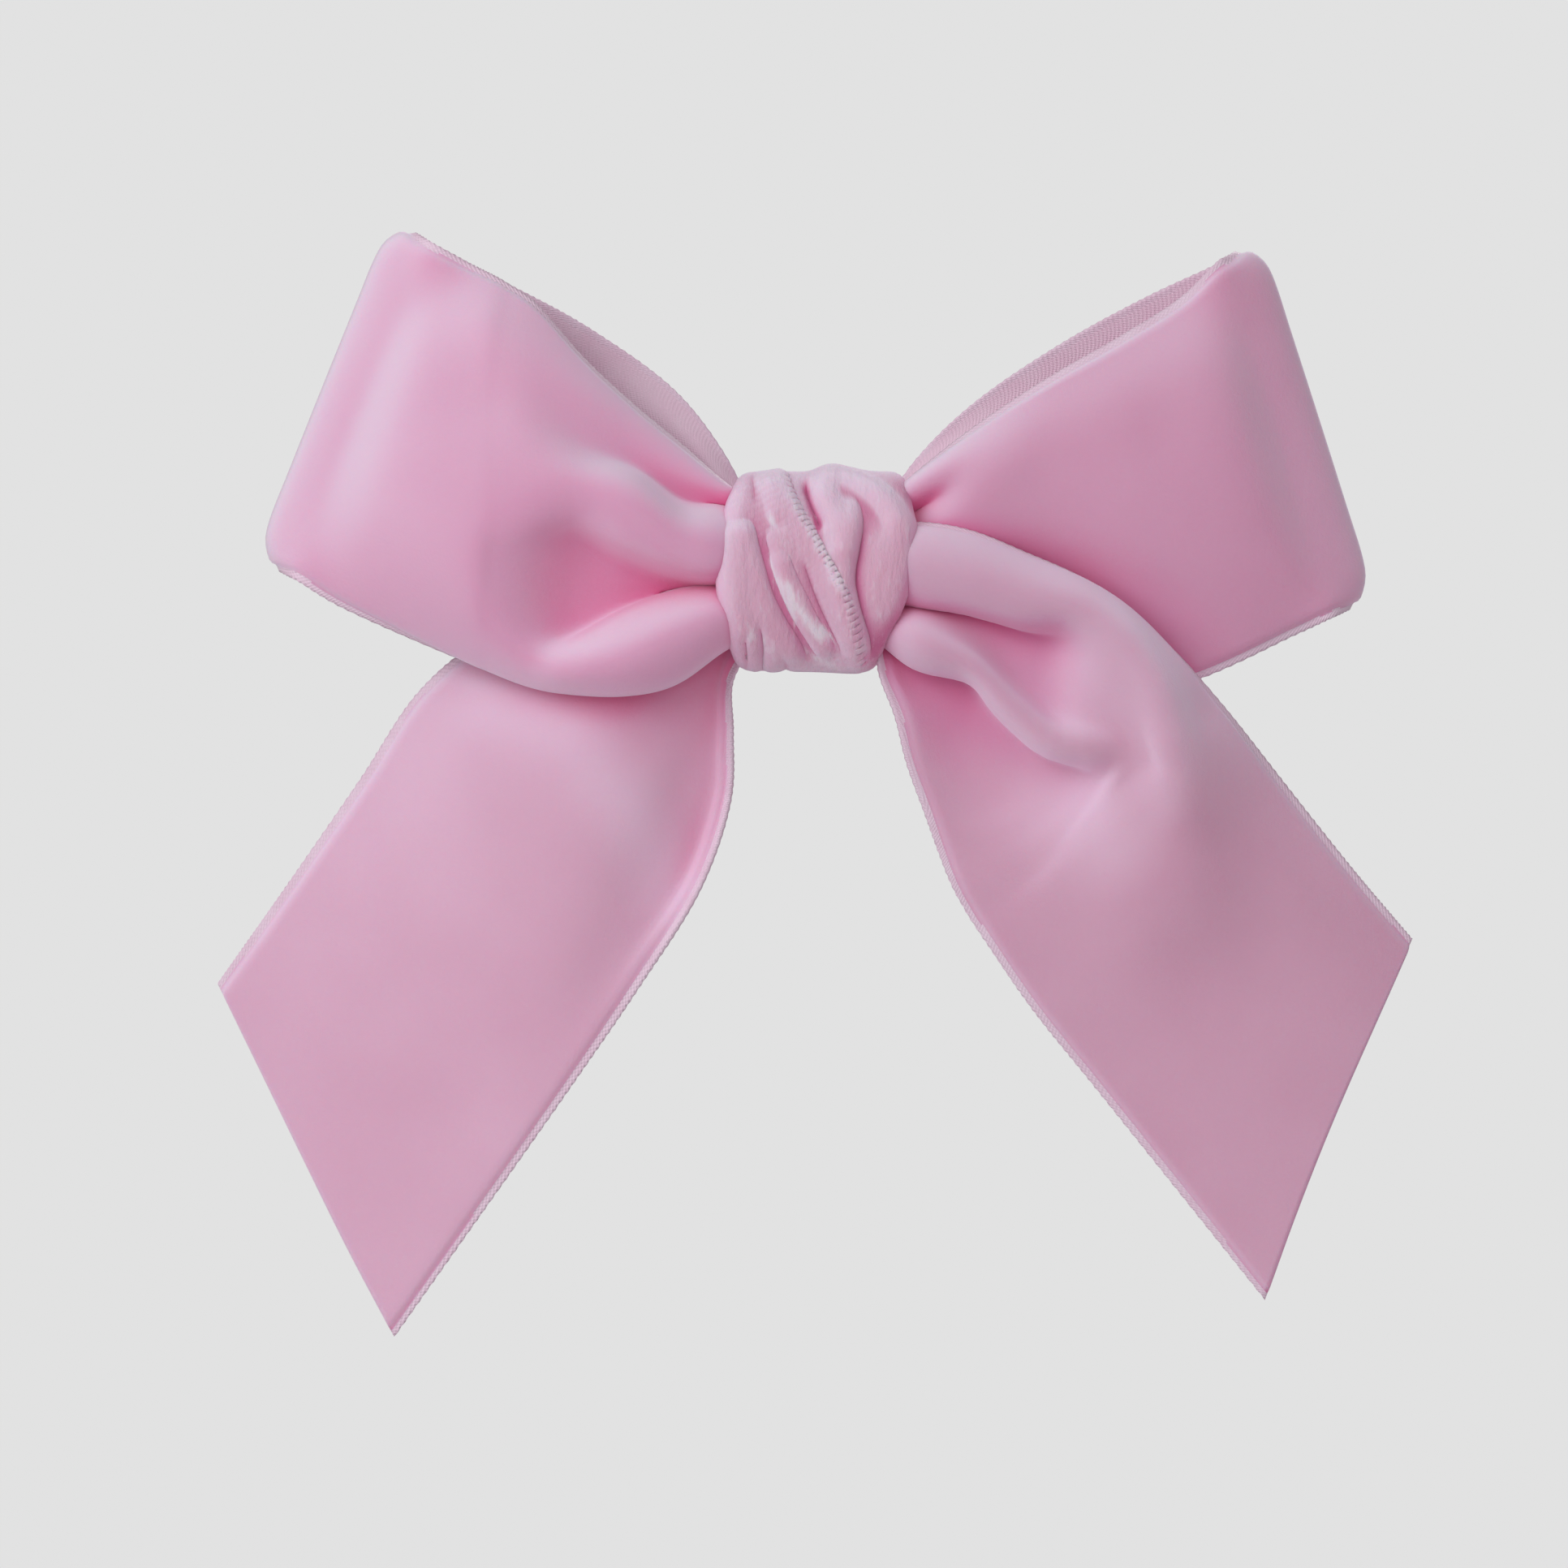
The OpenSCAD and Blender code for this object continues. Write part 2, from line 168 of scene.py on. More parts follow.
def sheet_faces(rows, cols):
    """Faces of a closed sheet from its two grids of points: its top, its bottom and its rim."""
    index = np.arange(rows * cols).reshape(rows, cols)
    corners = [index[:-1, :-1], index[1:, :-1], index[1:, 1:], index[:-1, 1:]]
    top = np.stack(corners, axis=-1).reshape(-1, 4)
    border = np.concatenate([index[:-1, 0], index[-1, :-1], index[:0:-1, -1], index[0, :0:-1]])
    following = np.roll(border, -1)
    below = rows * cols
    rim = np.stack([following, border, border + below, following + below], axis=-1)
    return top, top[:, ::-1] + below, rim


def ribbon_mesh(name, grid, materials, pile_side=1, pile=PILE, picots=True, marks=()):
    """Closed mesh of a stretch of ribbon: pile on one side, woven ground on the other, selvedges
    and picots along both edges. pile_side is 1 where the pile faces the grid's own normal. materials
    are those of the pile, the selvedge and the ground, and marks are further (name, values on the
    grid) for them."""
    rows, cols = grid.shape[:2]
    normal = grid_normals(grid) * pile_side
    across = run_length(grid, 1)
    along = run_length(grid, 0)
    from_edge = np.minimum(across, across[:, -1:] - across)
    grid = grid.copy()
    if picots:
        tooth = PICOT * (np.arange(rows) % 2)[:, None]
        grid[:, 0] += unit(grid[:, 0] - grid[:, 1]) * tooth
        grid[:, -1] += unit(grid[:, -1] - grid[:, -2]) * tooth
    height = SELVEDGE_PILE + (pile - SELVEDGE_PILE) * ease((from_edge - SELVEDGE) / PILE_START)
    points = np.concatenate([(grid + normal * height[..., None]).reshape(-1, 3),
                             (grid - normal * BACKING).reshape(-1, 3)])
    top, bottom, rim = sheet_faces(rows, cols)
    faces = np.concatenate([top, bottom, rim])
    if pile_side < 0:
        faces = faces[:, ::-1]
    at_edge = (from_edge[:-1, :-1] + from_edge[1:, 1:]).reshape(-1) / 2 < SELVEDGE
    slots = np.concatenate([np.where(at_edge, 1, 0), np.where(at_edge, 1, 2), np.full(len(rim), 1)])
    piece = add_piece(name, points, faces, materials)
    piece.data.polygons.foreach_set("material_index", slots.astype(np.int32))
    flat = np.stack([along, across, from_edge], axis=-1).reshape(-1, 3)
    store_mark(piece.data, "flat_mm", "FLOAT_VECTOR", flat)
    for mark_name, values in marks:
        store_mark(piece.data, mark_name, "FLOAT", values.ravel())
    piece.data.update()
    return piece


# ---------------------------------------------------------------- folds drawn on a surface


class Fold:
    """A fold along a curve drawn on a surface in (x, z). The marks of painted highlights and of crushed pile
    are drawn the same way, with their strength as the height.

    side "both" is a ridge, or a groove when height is negative. Side "left" or "right" is the edge
    of a layer that lies over the next one: high on that side, and easing away over the slope.
    beads makes the fold a row of small separate bumps.
    """

    def __init__(self, points, height, width, side="both", slope=4.0, fade=2.0, teeth=0.0, beads=False):
        self.line = smooth_curve(np.array(points, float), np.linspace(0, 1, 60))
        self.height = height
        self.width = width
        self.side = side
        self.slope = slope
        self.fade = fade
        self.teeth = teeth
        self.beads = beads

    def measure(self, spot):
        """Distance from the curve, positive on its left, the length run along it, and its whole length."""
        start, stop = self.line[:-1], self.line[1:]
        run = stop - start
        length = np.linalg.norm(run, axis=1)
        reach = spot[:, None] - start[None]
        f = np.clip((reach * run).sum(-1) / length**2, 0, 1)
        miss = reach - f[..., None] * run
        distance = np.linalg.norm(miss, axis=-1)
        best = distance.argmin(1)
        pick = np.arange(len(spot)), best
        side = np.sign(reach[pick][:, 0] * run[best][:, 1] - reach[pick][:, 1] * run[best][:, 0])
        before = np.concatenate([[0], np.cumsum(length)])
        return distance[pick] * side, before[best] + f[pick] * length[best], before[-1]

    def lift(self, spot):
        """How far the surface rises at each spot."""
        distance, run, total = self.measure(spot)
        ends = ease(run / self.fade) * ease((total - run) / self.fade)
        if self.beads:
            ends = ends * (0.5 + 0.5 * np.cos(run * 2 * math.pi / TOOTH_PITCH))
        if self.side == "both":
            return self.height * ends * np.exp(-((distance / self.width) ** 2))
        if self.side == "right":
            distance = -distance
        distance = distance - self.teeth * np.cos(run * 2 * math.pi / TOOTH_PITCH)
        step = ease(0.5 + distance / (2 * self.width))
        return self.height * ends * step * np.exp(-((np.maximum(distance, 0) / self.slope) ** 2))


def total_lift(folds, spots):
    """How far the folds together lift a grid of spots."""
    flat = spots.reshape(-1, 2)
    return sum(fold.lift(flat) for fold in folds).reshape(spots.shape[:-1])


# ---------------------------------------------------------------- loops

# Round outer fold of a loop: how far in from its edge, and how far out from its middle depth
FOLD_PROFILE = [(5, 3.7), (2.6, 2.6), (1.1, 1.7), (0.3, 0.85), (0, 0)]
FOLD_SHARES = (0, 0.025, 0.06, 0.11, 0.25, 0.5, 0.75, 0.89, 0.94, 0.975, 1)   # points across it
ROUND_CORNER = 2.6       # how far its corners fall back
CORNER_SHARE = 0.09      # share of the ribbon's width that a corner takes


def fold_line(top, low, out, bow, inset, y):
    """Line across the ribbon near a loop's outer fold, inset from it towards the knot. out points
    along the ribbon, away from the knot, and the line's ends fall back in round corners."""
    top, low, out = np.array(top, float), np.array(low, float), np.array(out, float)
    corner = ROUND_CORNER * (1 - inset / FOLD_PROFILE[0][0])
    line = []
    for f in FOLD_SHARES:
        in_corner = max(0, 1 - min(f, 1 - f) / CORNER_SHARE)
        x, z = top + (low - top) * f + out * (bow * 4 * f * (1 - f) - inset - corner * in_corner**2)
        line.append((x, y, z))
    return line


def pleated_line(top, low, y, bulge, depth, pleats):
    """Line across the ribbon between two (x, z) edges, bulging to the back and gathered in pleats."""
    line = []
    for f in np.linspace(0, 1, 6 * pleats + 1):
        x, z = np.array(top) * (1 - f) + np.array(low) * f
        wave = depth * math.cos(2 * math.pi * pleats * f)
        line.append((x, y + bulge * 4 * f * (1 - f) + wave, z))
    return line


def loop_stations(front, top, low, out, bow, back):
    """Lines across a loop's ribbon, from the knot's front round the outer fold to the knot's back."""
    away = [fold_line(top, low, out, bow, inset, FOLD_Y - depth) for inset, depth in FOLD_PROFILE]
    home = [fold_line(top, low, out, bow, inset, FOLD_Y + 0.8 * depth)
            for inset, depth in FOLD_PROFILE[-2::-1]]
    return front + away + home + [pleated_line(*line) for line in back]


# Features of the left loop's front, from the knot outwards
LEFT_FOLDS = [
    # top selvedge
    [(-7.5, -15.5, 7.5), (-10.6, -15.6, 9.6), (-15, -15.8, 13.5), (-20.2, -16.2, 17.8),
     (-26, -16.4, 23.2), (-31.2, -16, 29.2), (-35, -15.6, 31.8)],
    # shoulder of the panel above the ridge
    [(-7.5, -17, 6.6), (-10.8, -17.4, 8.6), (-15.1, -17.6, 11.4), (-20.3, -18.2, 15.2),
     (-26.2, -19.4, 19.4), (-31.8, -20, 23), (-36.2, -20, 25.6)],
    # crease above the ridge
    [(-7.5, -16, 5.6), (-10.8, -16.4, 6.6), (-15.1, -17.4, 6.9), (-20.3, -18.6, 10.3),
     (-26.4, -20.6, 13), (-32, -21.8, 16.4), (-36.8, -21.4, 18)],
    # the ridge's upper contour
    [(-7.5, -18, 5), (-10.9, -18.8, 6), (-15.2, -19.6, 6.5), (-20.4, -20.4, 10.2),
     (-26.2, -22.2, 11.2), (-31.8, -22.8, 12.8), (-36.8, -22.4, 13.6)],
    # its crest
    [(-7.5, -20, 2.8), (-11, -22, 3.4), (-15.2, -23, 4), (-20.4, -23.8, 7.8),
     (-26, -23.6, 9.4), (-31.6, -23.4, 9.6), (-36.8, -23, 9.8)],
    # its lower shoulder
    [(-7.5, -19.4, 0.4), (-11, -21.6, -0.2), (-15.3, -22.2, 0.8), (-20.5, -22.6, 3.2),
     (-26, -22.4, 6), (-31.6, -23.4, 6), (-36.8, -23.2, 6)],
    # foot of the ridge, in the dish
    [(-7.5, -17.4, -1), (-11, -17.4, -1.4), (-15.4, -17.6, -1), (-20.6, -17.6, 0.4),
     (-26.6, -18.6, 2.6), (-33, -21.8, 2), (-37.4, -23.2, 2.2)],
    # crease at the dish's lower side
    [(-7.5, -16.6, -1.8), (-11, -16.4, -1.9), (-15.4, -16, -2.7), (-20.8, -16.4, -4.6),
     (-27.8, -17.8, -7.8), (-33.4, -20.6, -6.4), (-37.6, -22.4, -2)],
    # the lower roll's upper contour
    [(-7.5, -17, -2.3), (-11, -17.6, -2.1), (-15.5, -18.2, -3.1), (-20.9, -19, -5.2),
     (-28, -19.6, -8.9), (-32.8, -20.4, -8.6), (-37.5, -21, -5.4)],
    # its crest
    [(-7.5, -19, -5), (-11, -21.4, -5.2), (-15.6, -22.6, -6.8), (-21, -23, -9.4),
     (-27.6, -21.8, -10.8), (-32.2, -20, -10.4), (-37.8, -19.4, -7.6)],
    # its lower side
    [(-7.5, -17.5, -7), (-10.8, -19.4, -8.2), (-15.7, -20, -11.6), (-21, -20.2, -13),
     (-27.7, -19.2, -12.9), (-32.2, -17.8, -12), (-38, -17.4, -9.4)],
    # bottom selvedge, turned in behind the roll
    [(-7.5, -14.5, -6.6), (-10.6, -15.6, -8.4), (-15.7, -15.6, -12), (-21, -15.8, -13.2),
     (-27.6, -15.8, -13), (-32.2, -15.4, -12.2), (-38.2, -15, -10.2)],
]
LEFT_FRONT = [
    [(-38.6, -15.4, 33.7), (-42.2, -18.4, 26), (-45.2, -19.6, 17), (-47.6, -20, 8.6),
     (-50.2, -18.2, 1.2), (-52.4, -15.4, -4.1)],
]
LEFT_BACK = [
    ((-34, 31.6), (-47, -5.4), -9, 1.4, 0, 1),
    ((-24.9, 26.6), (-32, -10.8), -9, 1.6, 0.3, 2),
    ((-15.8, 19.9), (-20, -11.4), -10, 1.6, 0.9, 3),
    ((-10.9, 13.6), (-12, -9.6), -11.2, 1, 1.5, 3),
    ((-7.5, 7.2), (-7.5, -6.8), -12, 0, 1.8, 3),
]

RIGHT_FRONT = [
    [(7.5, -15.5, 7.5), (7.5, -18, 6), (7.5, -15.5, 4.8), (7.5, -17.5, 3), (7.5, -15.5, 0),
     (7.5, -13.5, -2), (7.5, -16, -5), (7.5, -14.5, -7)],
    [(11, -15.8, 10.6), (11.2, -18.3, 9), (11.6, -16.4, 6.8), (11.8, -18, 4.6), (11.8, -16.5, 1),
     (11.8, -14.2, -2), (11.8, -16.4, -5.5), (11.6, -16, -9.4), (11.4, -14.4, -9)],
    [(16.8, -16.4, 15.2), (17, -18.8, 12.4), (17.2, -19.4, 9.2), (17.5, -19, 6), (17.5, -17.6, 2),
     (17.5, -14.6, -2), (17.5, -14.4, -6.5), (17.5, -14.6, -11), (17.5, -14, -12.4)],
    [(24.8, -16.8, 20.6), (25.2, -19, 15), (25.6, -19, 9), (26, -17.8, 3), (26, -15.6, -3),
     (26, -14.8, -8.5), (26, -14.2, -13.4)],
    [(33.4, -16.4, 25.6), (35, -18.9, 19), (36.4, -19.1, 11), (37.6, -18.4, 3), (38.6, -16.8, -5),
     (39.4, -15, -12.8)],
    [(40.4, -15.5, 30.2), (43.4, -18.2, 22.4), (46, -18.8, 14), (48.6, -18.2, 5.5), (51, -17, -2),
     (52.8, -15.3, -7)],
]
RIGHT_BACK = [
    ((37, 30.6), (48, -7.4), -9, 1.4, 0, 1),
    ((26.4, 24.8), (33, -11.6), -9, 1.6, 0.3, 2),
    ((16.6, 18), (20, -11.2), -10, 1.6, 0.9, 3),
    ((10.9, 12.2), (12, -9.4), -11.2, 1, 1.5, 3),
    ((7.5, 7.2), (7.5, -6.8), -12, 0, 1.8, 3),
]


def loop_left(materials):
    front = across_folds(LEFT_FOLDS) + LEFT_FRONT
    stations = loop_stations(front, (-46.7, 38.4), (-61.6, 1.3), (-0.86, 0.51), 0.1, LEFT_BACK)
    return ribbon_mesh("loop_left_velvet", ribbon_grid(stations), materials, pile_side=1)


def loop_right(materials):
    stations = loop_stations(RIGHT_FRONT, (48.4, 36.2), (60.9, -3.0), (0.88, 0.47), 0.1, RIGHT_BACK)
    return ribbon_mesh("loop_right_velvet", ribbon_grid(stations), materials, pile_side=-1)


# ---------------------------------------------------------------- tails

TAIL_LEFT = [
    [(-8, -13.2, 3), (-8, -12.8, 0), (-8, -13.4, -3), (-8, -12.8, -6), (-7.5, -13.2, -8.6)],
    [(-14, -13.2, 1.5), (-13, -13.2, -3), (-11.6, -12.6, -7.5), (-10.4, -12, -10.5),
     (-9.5, -12.6, -12.4)],
    [(-24.2, -12.6, -2), (-21, -13.4, -7), (-17.6, -13.6, -11.5), (-14, -11.8, -15), (-11, -10.4, -17.2),
     (-9.5, -11.8, -18)],
    [(-36.2, -11, -7.2), (-30.6, -13.4, -11.6), (-24.4, -14.8, -16.8), (-18.6, -12.8, -21),
     (-14.2, -9.8, -23.8), (-11.4, -8.8, -25), (-9.8, -10.4, -25.6)],
    [(-43.8, -10, -13.1), (-37, -12.6, -19), (-30, -13.4, -24.6), (-23, -12.4, -29.6),
     (-17.4, -9, -32.8), (-14.6, -7.8, -34.4), (-13, -9.8, -35)],
    [(-50.8, -8.4, -23.3), (-43.2, -10.4, -29.8), (-35.4, -11.4, -35.8), (-28, -11.4, -41.2),
     (-22.4, -9.8, -44.8), (-20, -10.2, -46.4)],
    [(-58, -8.6, -33.7), (-50.4, -9.8, -39.2), (-42.6, -10.4, -44.8), (-34.8, -10.6, -50.4),
     (-27.4, -10.4, -57.2)],
    [(-66.5, -9.8, -45.8), (-61.7, -10.2, -55.5), (-56.9, -10.4, -65.3), (-52.1, -10.6, -75),
     (-46.9, -10.8, -84.8)],
]

# Features of the right tail near the knot, from the knot outwards: the upper band turns down into
# a ring that closes a pocket, and the lower roll curls up to meet it
TAIL_RIGHT_FOLDS = [
    # outer selvedge
    [(7.5, -18.5, 4.5), (11, -19, 4.9), (16.6, -19.4, 4), (22.8, -19.8, 1.5), (28.6, -20, -1.1),
     (34, -19.4, -4.6), (39.6, -18.2, -9.8), (43.4, -17.4, -14)],
    # the band's upper shoulder
    [(7.5, -20.4, 2.6), (11, -21.2, 3), (16.4, -22, 1.8), (22.6, -22.6, -0.6), (29, -22.6, -2.6),
     (34.2, -22.4, -6), (38.8, -21.4, -11.2), (41.6, -20.2, -16)],
    # crest of the band and of the ring
    [(7.5, -20.8, 0), (11, -21.9, 0.4), (16.3, -22.9, -1), (22.6, -23.6, -3), (28.8, -24.2, -4.2),
     (33.6, -24.7, -7.6), (37.2, -24.9, -13), (38.9, -24.4, -18.4)],
    # the band's lower contour and the ring's inner side
    [(7.5, -19, -2.8), (11, -19.8, -3.6), (16.2, -20.4, -4.5), (22.4, -21.2, -6), (27.6, -22, -6.4),
     (31.8, -23.4, -9.8), (35.4, -24, -14.8), (37.2, -24, -19.8)],
    # crease under the band
    [(7.5, -17.4, -3.4), (11, -17.8, -3.5), (16.2, -17.6, -4), (22.2, -17.6, -6.2), (26.6, -18.4, -8),
     (30.4, -22, -11.8), (34.8, -23.2, -16.2), (37, -22.8, -20.6)],
    # the pocket's floor
    [(7.5, -17.2, -4.2), (11, -18, -4.5), (16.3, -17.8, -6.2), (21.8, -18, -9.6), (25.8, -18.6, -12),
     (29.8, -21.2, -14.4), (34, -22.4, -17.6), (36, -22.2, -21.4)],
    # upper side of the roll
    [(7.5, -18.2, -5.2), (11, -20.4, -6), (16.4, -20, -8.6), (21.4, -19.2, -12.6), (25.6, -19.8, -16),
     (29.6, -21.4, -17.2), (33.4, -22, -18.8), (35, -21.6, -22.2)],
    # its crest
    [(7.5, -18.6, -6.6), (11, -21.4, -8), (16.4, -22.2, -10.2), (21, -22.6, -14.6),
     (25.4, -22.8, -18.4), (29.6, -22.8, -19.4), (33, -22, -20.2), (34, -21, -23)],
    # its lower contour
    [(7.5, -17, -8), (10.9, -19, -10.5), (16.8, -19.6, -12.1), (20, -20.2, -15.8),
     (24.8, -20.8, -20), (29.4, -21.2, -21), (32.4, -20.9, -21.8), (32.4, -20.1, -24.8)],
    # crease under the roll
    [(7.3, -15.4, -7.6), (10.4, -15.6, -10), (16.4, -15.6, -11.6), (19.6, -16, -15.4),
     (24.2, -16.8, -19.6), (28.6, -17.6, -21.8), (30.8, -18.6, -24), (30.4, -18.8, -26.9)],
    # panel below it
    [(7, -16, -8.6), (9.2, -15.8, -12), (13, -15.6, -15.4), (15.6, -15.4, -20.2), (19.4, -15.6, -25.4),
     (22.8, -16.3, -28), (24.4, -16.9, -30.4), (24.6, -17, -33)],
    # left selvedge, turned up
    [(6.5, -17, -8.8), (6.8, -17.4, -11.6), (8.5, -17.8, -16.2), (9.8, -18, -21.4), (11.8, -17.8, -27),
     (13.2, -17.4, -31), (14.8, -17, -35), (16.6, -16.4, -38.2)],
]
TAIL_RIGHT = [
    [(45.6, -16.8, -16.6), (43, -20.4, -19), (39.5, -23.4, -22.4), (35.2, -21, -26.4), (30, -18.6, -31),
     (24, -16.9, -36), (18.6, -16.2, -41.2)],
    [(51.4, -15.2, -23.8), (46.6, -18, -28), (41.2, -19.8, -32.8), (35.6, -18.4, -37.6),
     (29.6, -16.2, -42.6), (23.6, -15.2, -48.4)],
    [(58.2, -13.8, -32.2), (53, -15.4, -37.2), (46.6, -15.4, -42.8), (40, -14.8, -48.6), (31, -13.8, -57.6)],
    [(65.6, -12, -40.8), (61.1, -12.6, -50.8), (56.8, -12.6, -60.8), (52.9, -12.2, -70.8),
     (49.4, -11.8, -80.6)],
]


# Painted highlights: where the pile is painted paler, seen from the front in (x, z)
HIGHLIGHTS_LEFT = [
    Fold([(-42, -13), (-35, -15), (-27, -18.5), (-21, -27), (-17, -36), (-15.5, -42)], 0.42, 4, fade=7),
]
HIGHLIGHTS_RIGHT = [
    # painted highlight along the crest of the ring
    Fold([(29, -3), (35, -7), (37.6, -12), (38.8, -16.6), (39.2, -21.2), (38.6, -26), (37, -30)],
         0.26, 1.8, fade=6),
    # painted highlight on the panel below the roll
    Fold([(19, -22), (26, -25), (31, -29), (36, -37)], 0.3, 5.5, fade=8),
]


def painted_highlight(grid, folds):
    """The mark for painted highlights on a grid of points."""
    return "painted_highlight", total_lift(folds, grid[..., [0, 2]])


def tail_left(materials):
    grid = ribbon_grid(TAIL_LEFT)
    return ribbon_mesh("tail_left_velvet", grid, materials, marks=[painted_highlight(grid, HIGHLIGHTS_LEFT)])


def tail_right(materials):
    grid = ribbon_grid(across_folds(TAIL_RIGHT_FOLDS) + TAIL_RIGHT)
    return ribbon_mesh("tail_right_velvet", grid, materials, pile_side=-1,
                       marks=[painted_highlight(grid, HIGHLIGHTS_RIGHT)])


# ---------------------------------------------------------------- knot

KNOT_Y = -14.6
KNOT_HALF_DEPTH = 7.2
KNOT_Z = -0.25
KNOT_HALF_HEIGHT = 10.3
KNOT_RIM = 1.3        # radius of the turned-in edges of the knot
KNOT_HEM = 3.6        # ribbon folded in behind each edge
UNROLLED_TOP = 11.4   # height of the knot's top on the flat drawing of its folds
UNROLLED_RATE = 9.0   # further height there for each radian round to the back
HOLLOW_REACH = 400    # smoothing passes that give the level a groove is measured from

# Folds seen from the front, in (x, z)
LAYER_EDGE = [(-4.4, 12.5), (-3.4, 9.4), (-2.2, 6.5), (-0.9, 4.2), (0.5, 2), (1.8, -0.4), (2.8, -3),
              (3.7, -5.8), (4.4, -9), (4.8, -12)]
KNOT_FOLDS = [
    # the outer layer's edge, with its row of small loops
    Fold(LAYER_EDGE, 0.65, 0.4, "left", 3.2, teeth=0.12),
    Fold(LAYER_EDGE[1:7], 0.17, 0.4, beads=True),
    # the deep groove beside its upper end
    Fold([(-1.7, 11), (-0.9, 8.4), (0, 6), (0.9, 4)], -1.1, 0.85),
    # the roll between that groove and the right panel
    Fold([(0.4, 12), (1, 8.6), (1.9, 5.6), (2.3, 2.6), (2.4, 0.4)], 0.55, 1.2),
    # the roll's right side, which shadows the smooth crescent of the right panel
    Fold([(3.6, 9.4), (4.1, 6.6), (4, 3.6), (3.5, 1.2), (3.3, -1.4), (3.8, -3.8), (4.5, -6.2),
          (5.1, -9), (5.4, -12)], 1.2, 0.5, "left", 2.2, fade=5),
    Fold([(4.4, 5.4), (4.1, 1.6), (3.9, -1.4), (4.3, -4.4), (5, -8)], -0.45, 0.7, fade=3),
    Fold([(7.2, 7), (7.6, 3), (7.2, -1), (6.6, -5), (6.2, -9)], 0.3, 2, fade=5),
    # its curved upper crest
    Fold([(-1.4, 12.6), (1.6, 11.2), (4.6, 10), (7, 8.2), (8.6, 5.4), (9.4, 2)], 0.9, 1.1, fade=4),
    # the left roll and its groove
    Fold([(-9, 12), (-9.3, 6), (-9.4, 0), (-8.8, -6), (-7.4, -12)], 0.45, 1.5, fade=5),
    Fold([(-7.8, 6), (-7.2, 3), (-6.4, 0), (-5.6, -2.8), (-4.4, -5.4), (-2.8, -8), (-1.4, -10.5)],
         0.75, 0.45, "left", 3),
    # crushed pleats between the left groove and the outer layer's edge
    Fold([(-5.6, 5), (-4.9, 2.4), (-4.3, -0.2), (-3.4, -2.8), (-2.2, -5.4), (-0.6, -8), (1, -10.5)],
         0.4, 0.35, "right", 2),
    Fold([(-3.9, 2.6), (-3.4, 0.6), (-2.6, -1.4), (-1.6, -3.4), (-0.6, -5.4), (0.8, -7.6), (2.2, -9.4)],
         0.45, 0.3, "left", 1.4),
    Fold([(-1.8, 1.6), (-1, -0.8), (-0.2, -3), (0.8, -5.2), (2, -7.4), (3.4, -9.6)], -0.3, 0.5),
    Fold([(-6, 11), (-5.4, 7.6), (-5.1, 4.6)], 0.3, 0.6, "right", 2),
    Fold([(-7.4, 12), (-7, 9.4), (-6.9, 7)], -0.25, 0.6),
    # gathers that run over the knot's lower edge
    Fold([(-8.2, -6.6), (-7.8, -9.6), (-7.8, -13)], -0.35, 0.5),
    Fold([(-6.4, -5.6), (-6, -8.6), (-6.2, -13)], -0.4, 0.5),
    Fold([(-3.8, -8.6), (-3.6, -11), (-3.8, -14)], -0.3, 0.6),
    # gathers over its upper edge
    Fold([(-8.4, 15), (-8, 11)], -0.3, 0.7),
    Fold([(4.6, 16), (4.4, 12)], -0.3, 0.9),
]

# Where the pile is crushed flat and looks pale
CRUSHED = [
    Fold([(-5.4, 7.4), (-4.7, 5.2), (-4, 3.4)], 0.7, 0.4),
    Fold([(-5.2, 2.6), (-4.7, 0.6), (-4, -1.4), (-3.4, -3.2), (-2.6, -5), (-1.6, -6.6)], 1.0, 0.35),
    Fold([(-3.8, -0.4), (-3, -2.2), (-2.4, -3.8), (-1.4, -5.2), (-0.2, -6.8), (1, -8.4)], 1.0, 0.4),
    Fold([(-0.4, -5), (0.4, -6.6), (1.4, -7.8), (2.4, -9)], 0.8, 0.35),
    Fold([(-2, -8.4), (-0.6, -9.6), (1.4, -10.4), (3.2, -10.8)], 0.7, 0.5),
    Fold([(-8.4, -5), (-7.4, -7.4), (-6.6, -9.4)], 0.5, 0.5),
    Fold([(-5.4, -6.4), (-5, -8.6), (-4.6, -10.4)], 0.5, 0.4),
    Fold(LAYER_EDGE[1:7], 0.8, 0.4, beads=True),
    Fold(LAYER_EDGE, 0.3, 0.7),
]


# Painted highlights on the knot: along its left rim and across its top
HIGHLIGHTS_KNOT = [
    Fold([(-8.6, 9), (-8.6, 3), (-8.4, -3), (-7.8, -8)], 0.16, 2.6, fade=5),
    Fold([(-7, 9.6), (-3, 10.4), (1.6, 10.6), (5.4, 9.4), (8, 6.4)], 0.3, 2.4, fade=5),
]

# Where the knot's face ends on its left and its right, against the sine of the angle round it
KNOT_UP = [-1, -0.75, -0.5, -0.25, 0, 0.25, 0.5, 0.75, 1]
KNOT_LEFT = [-7.4, -8, -8.5, -8.75, -8.8, -8.6, -8.3, -7.9, -7.3]
KNOT_RIGHT = [4.9, 5.8, 7, 7.9, 8.5, 8.9, 8.8, 8.4, 7.9]


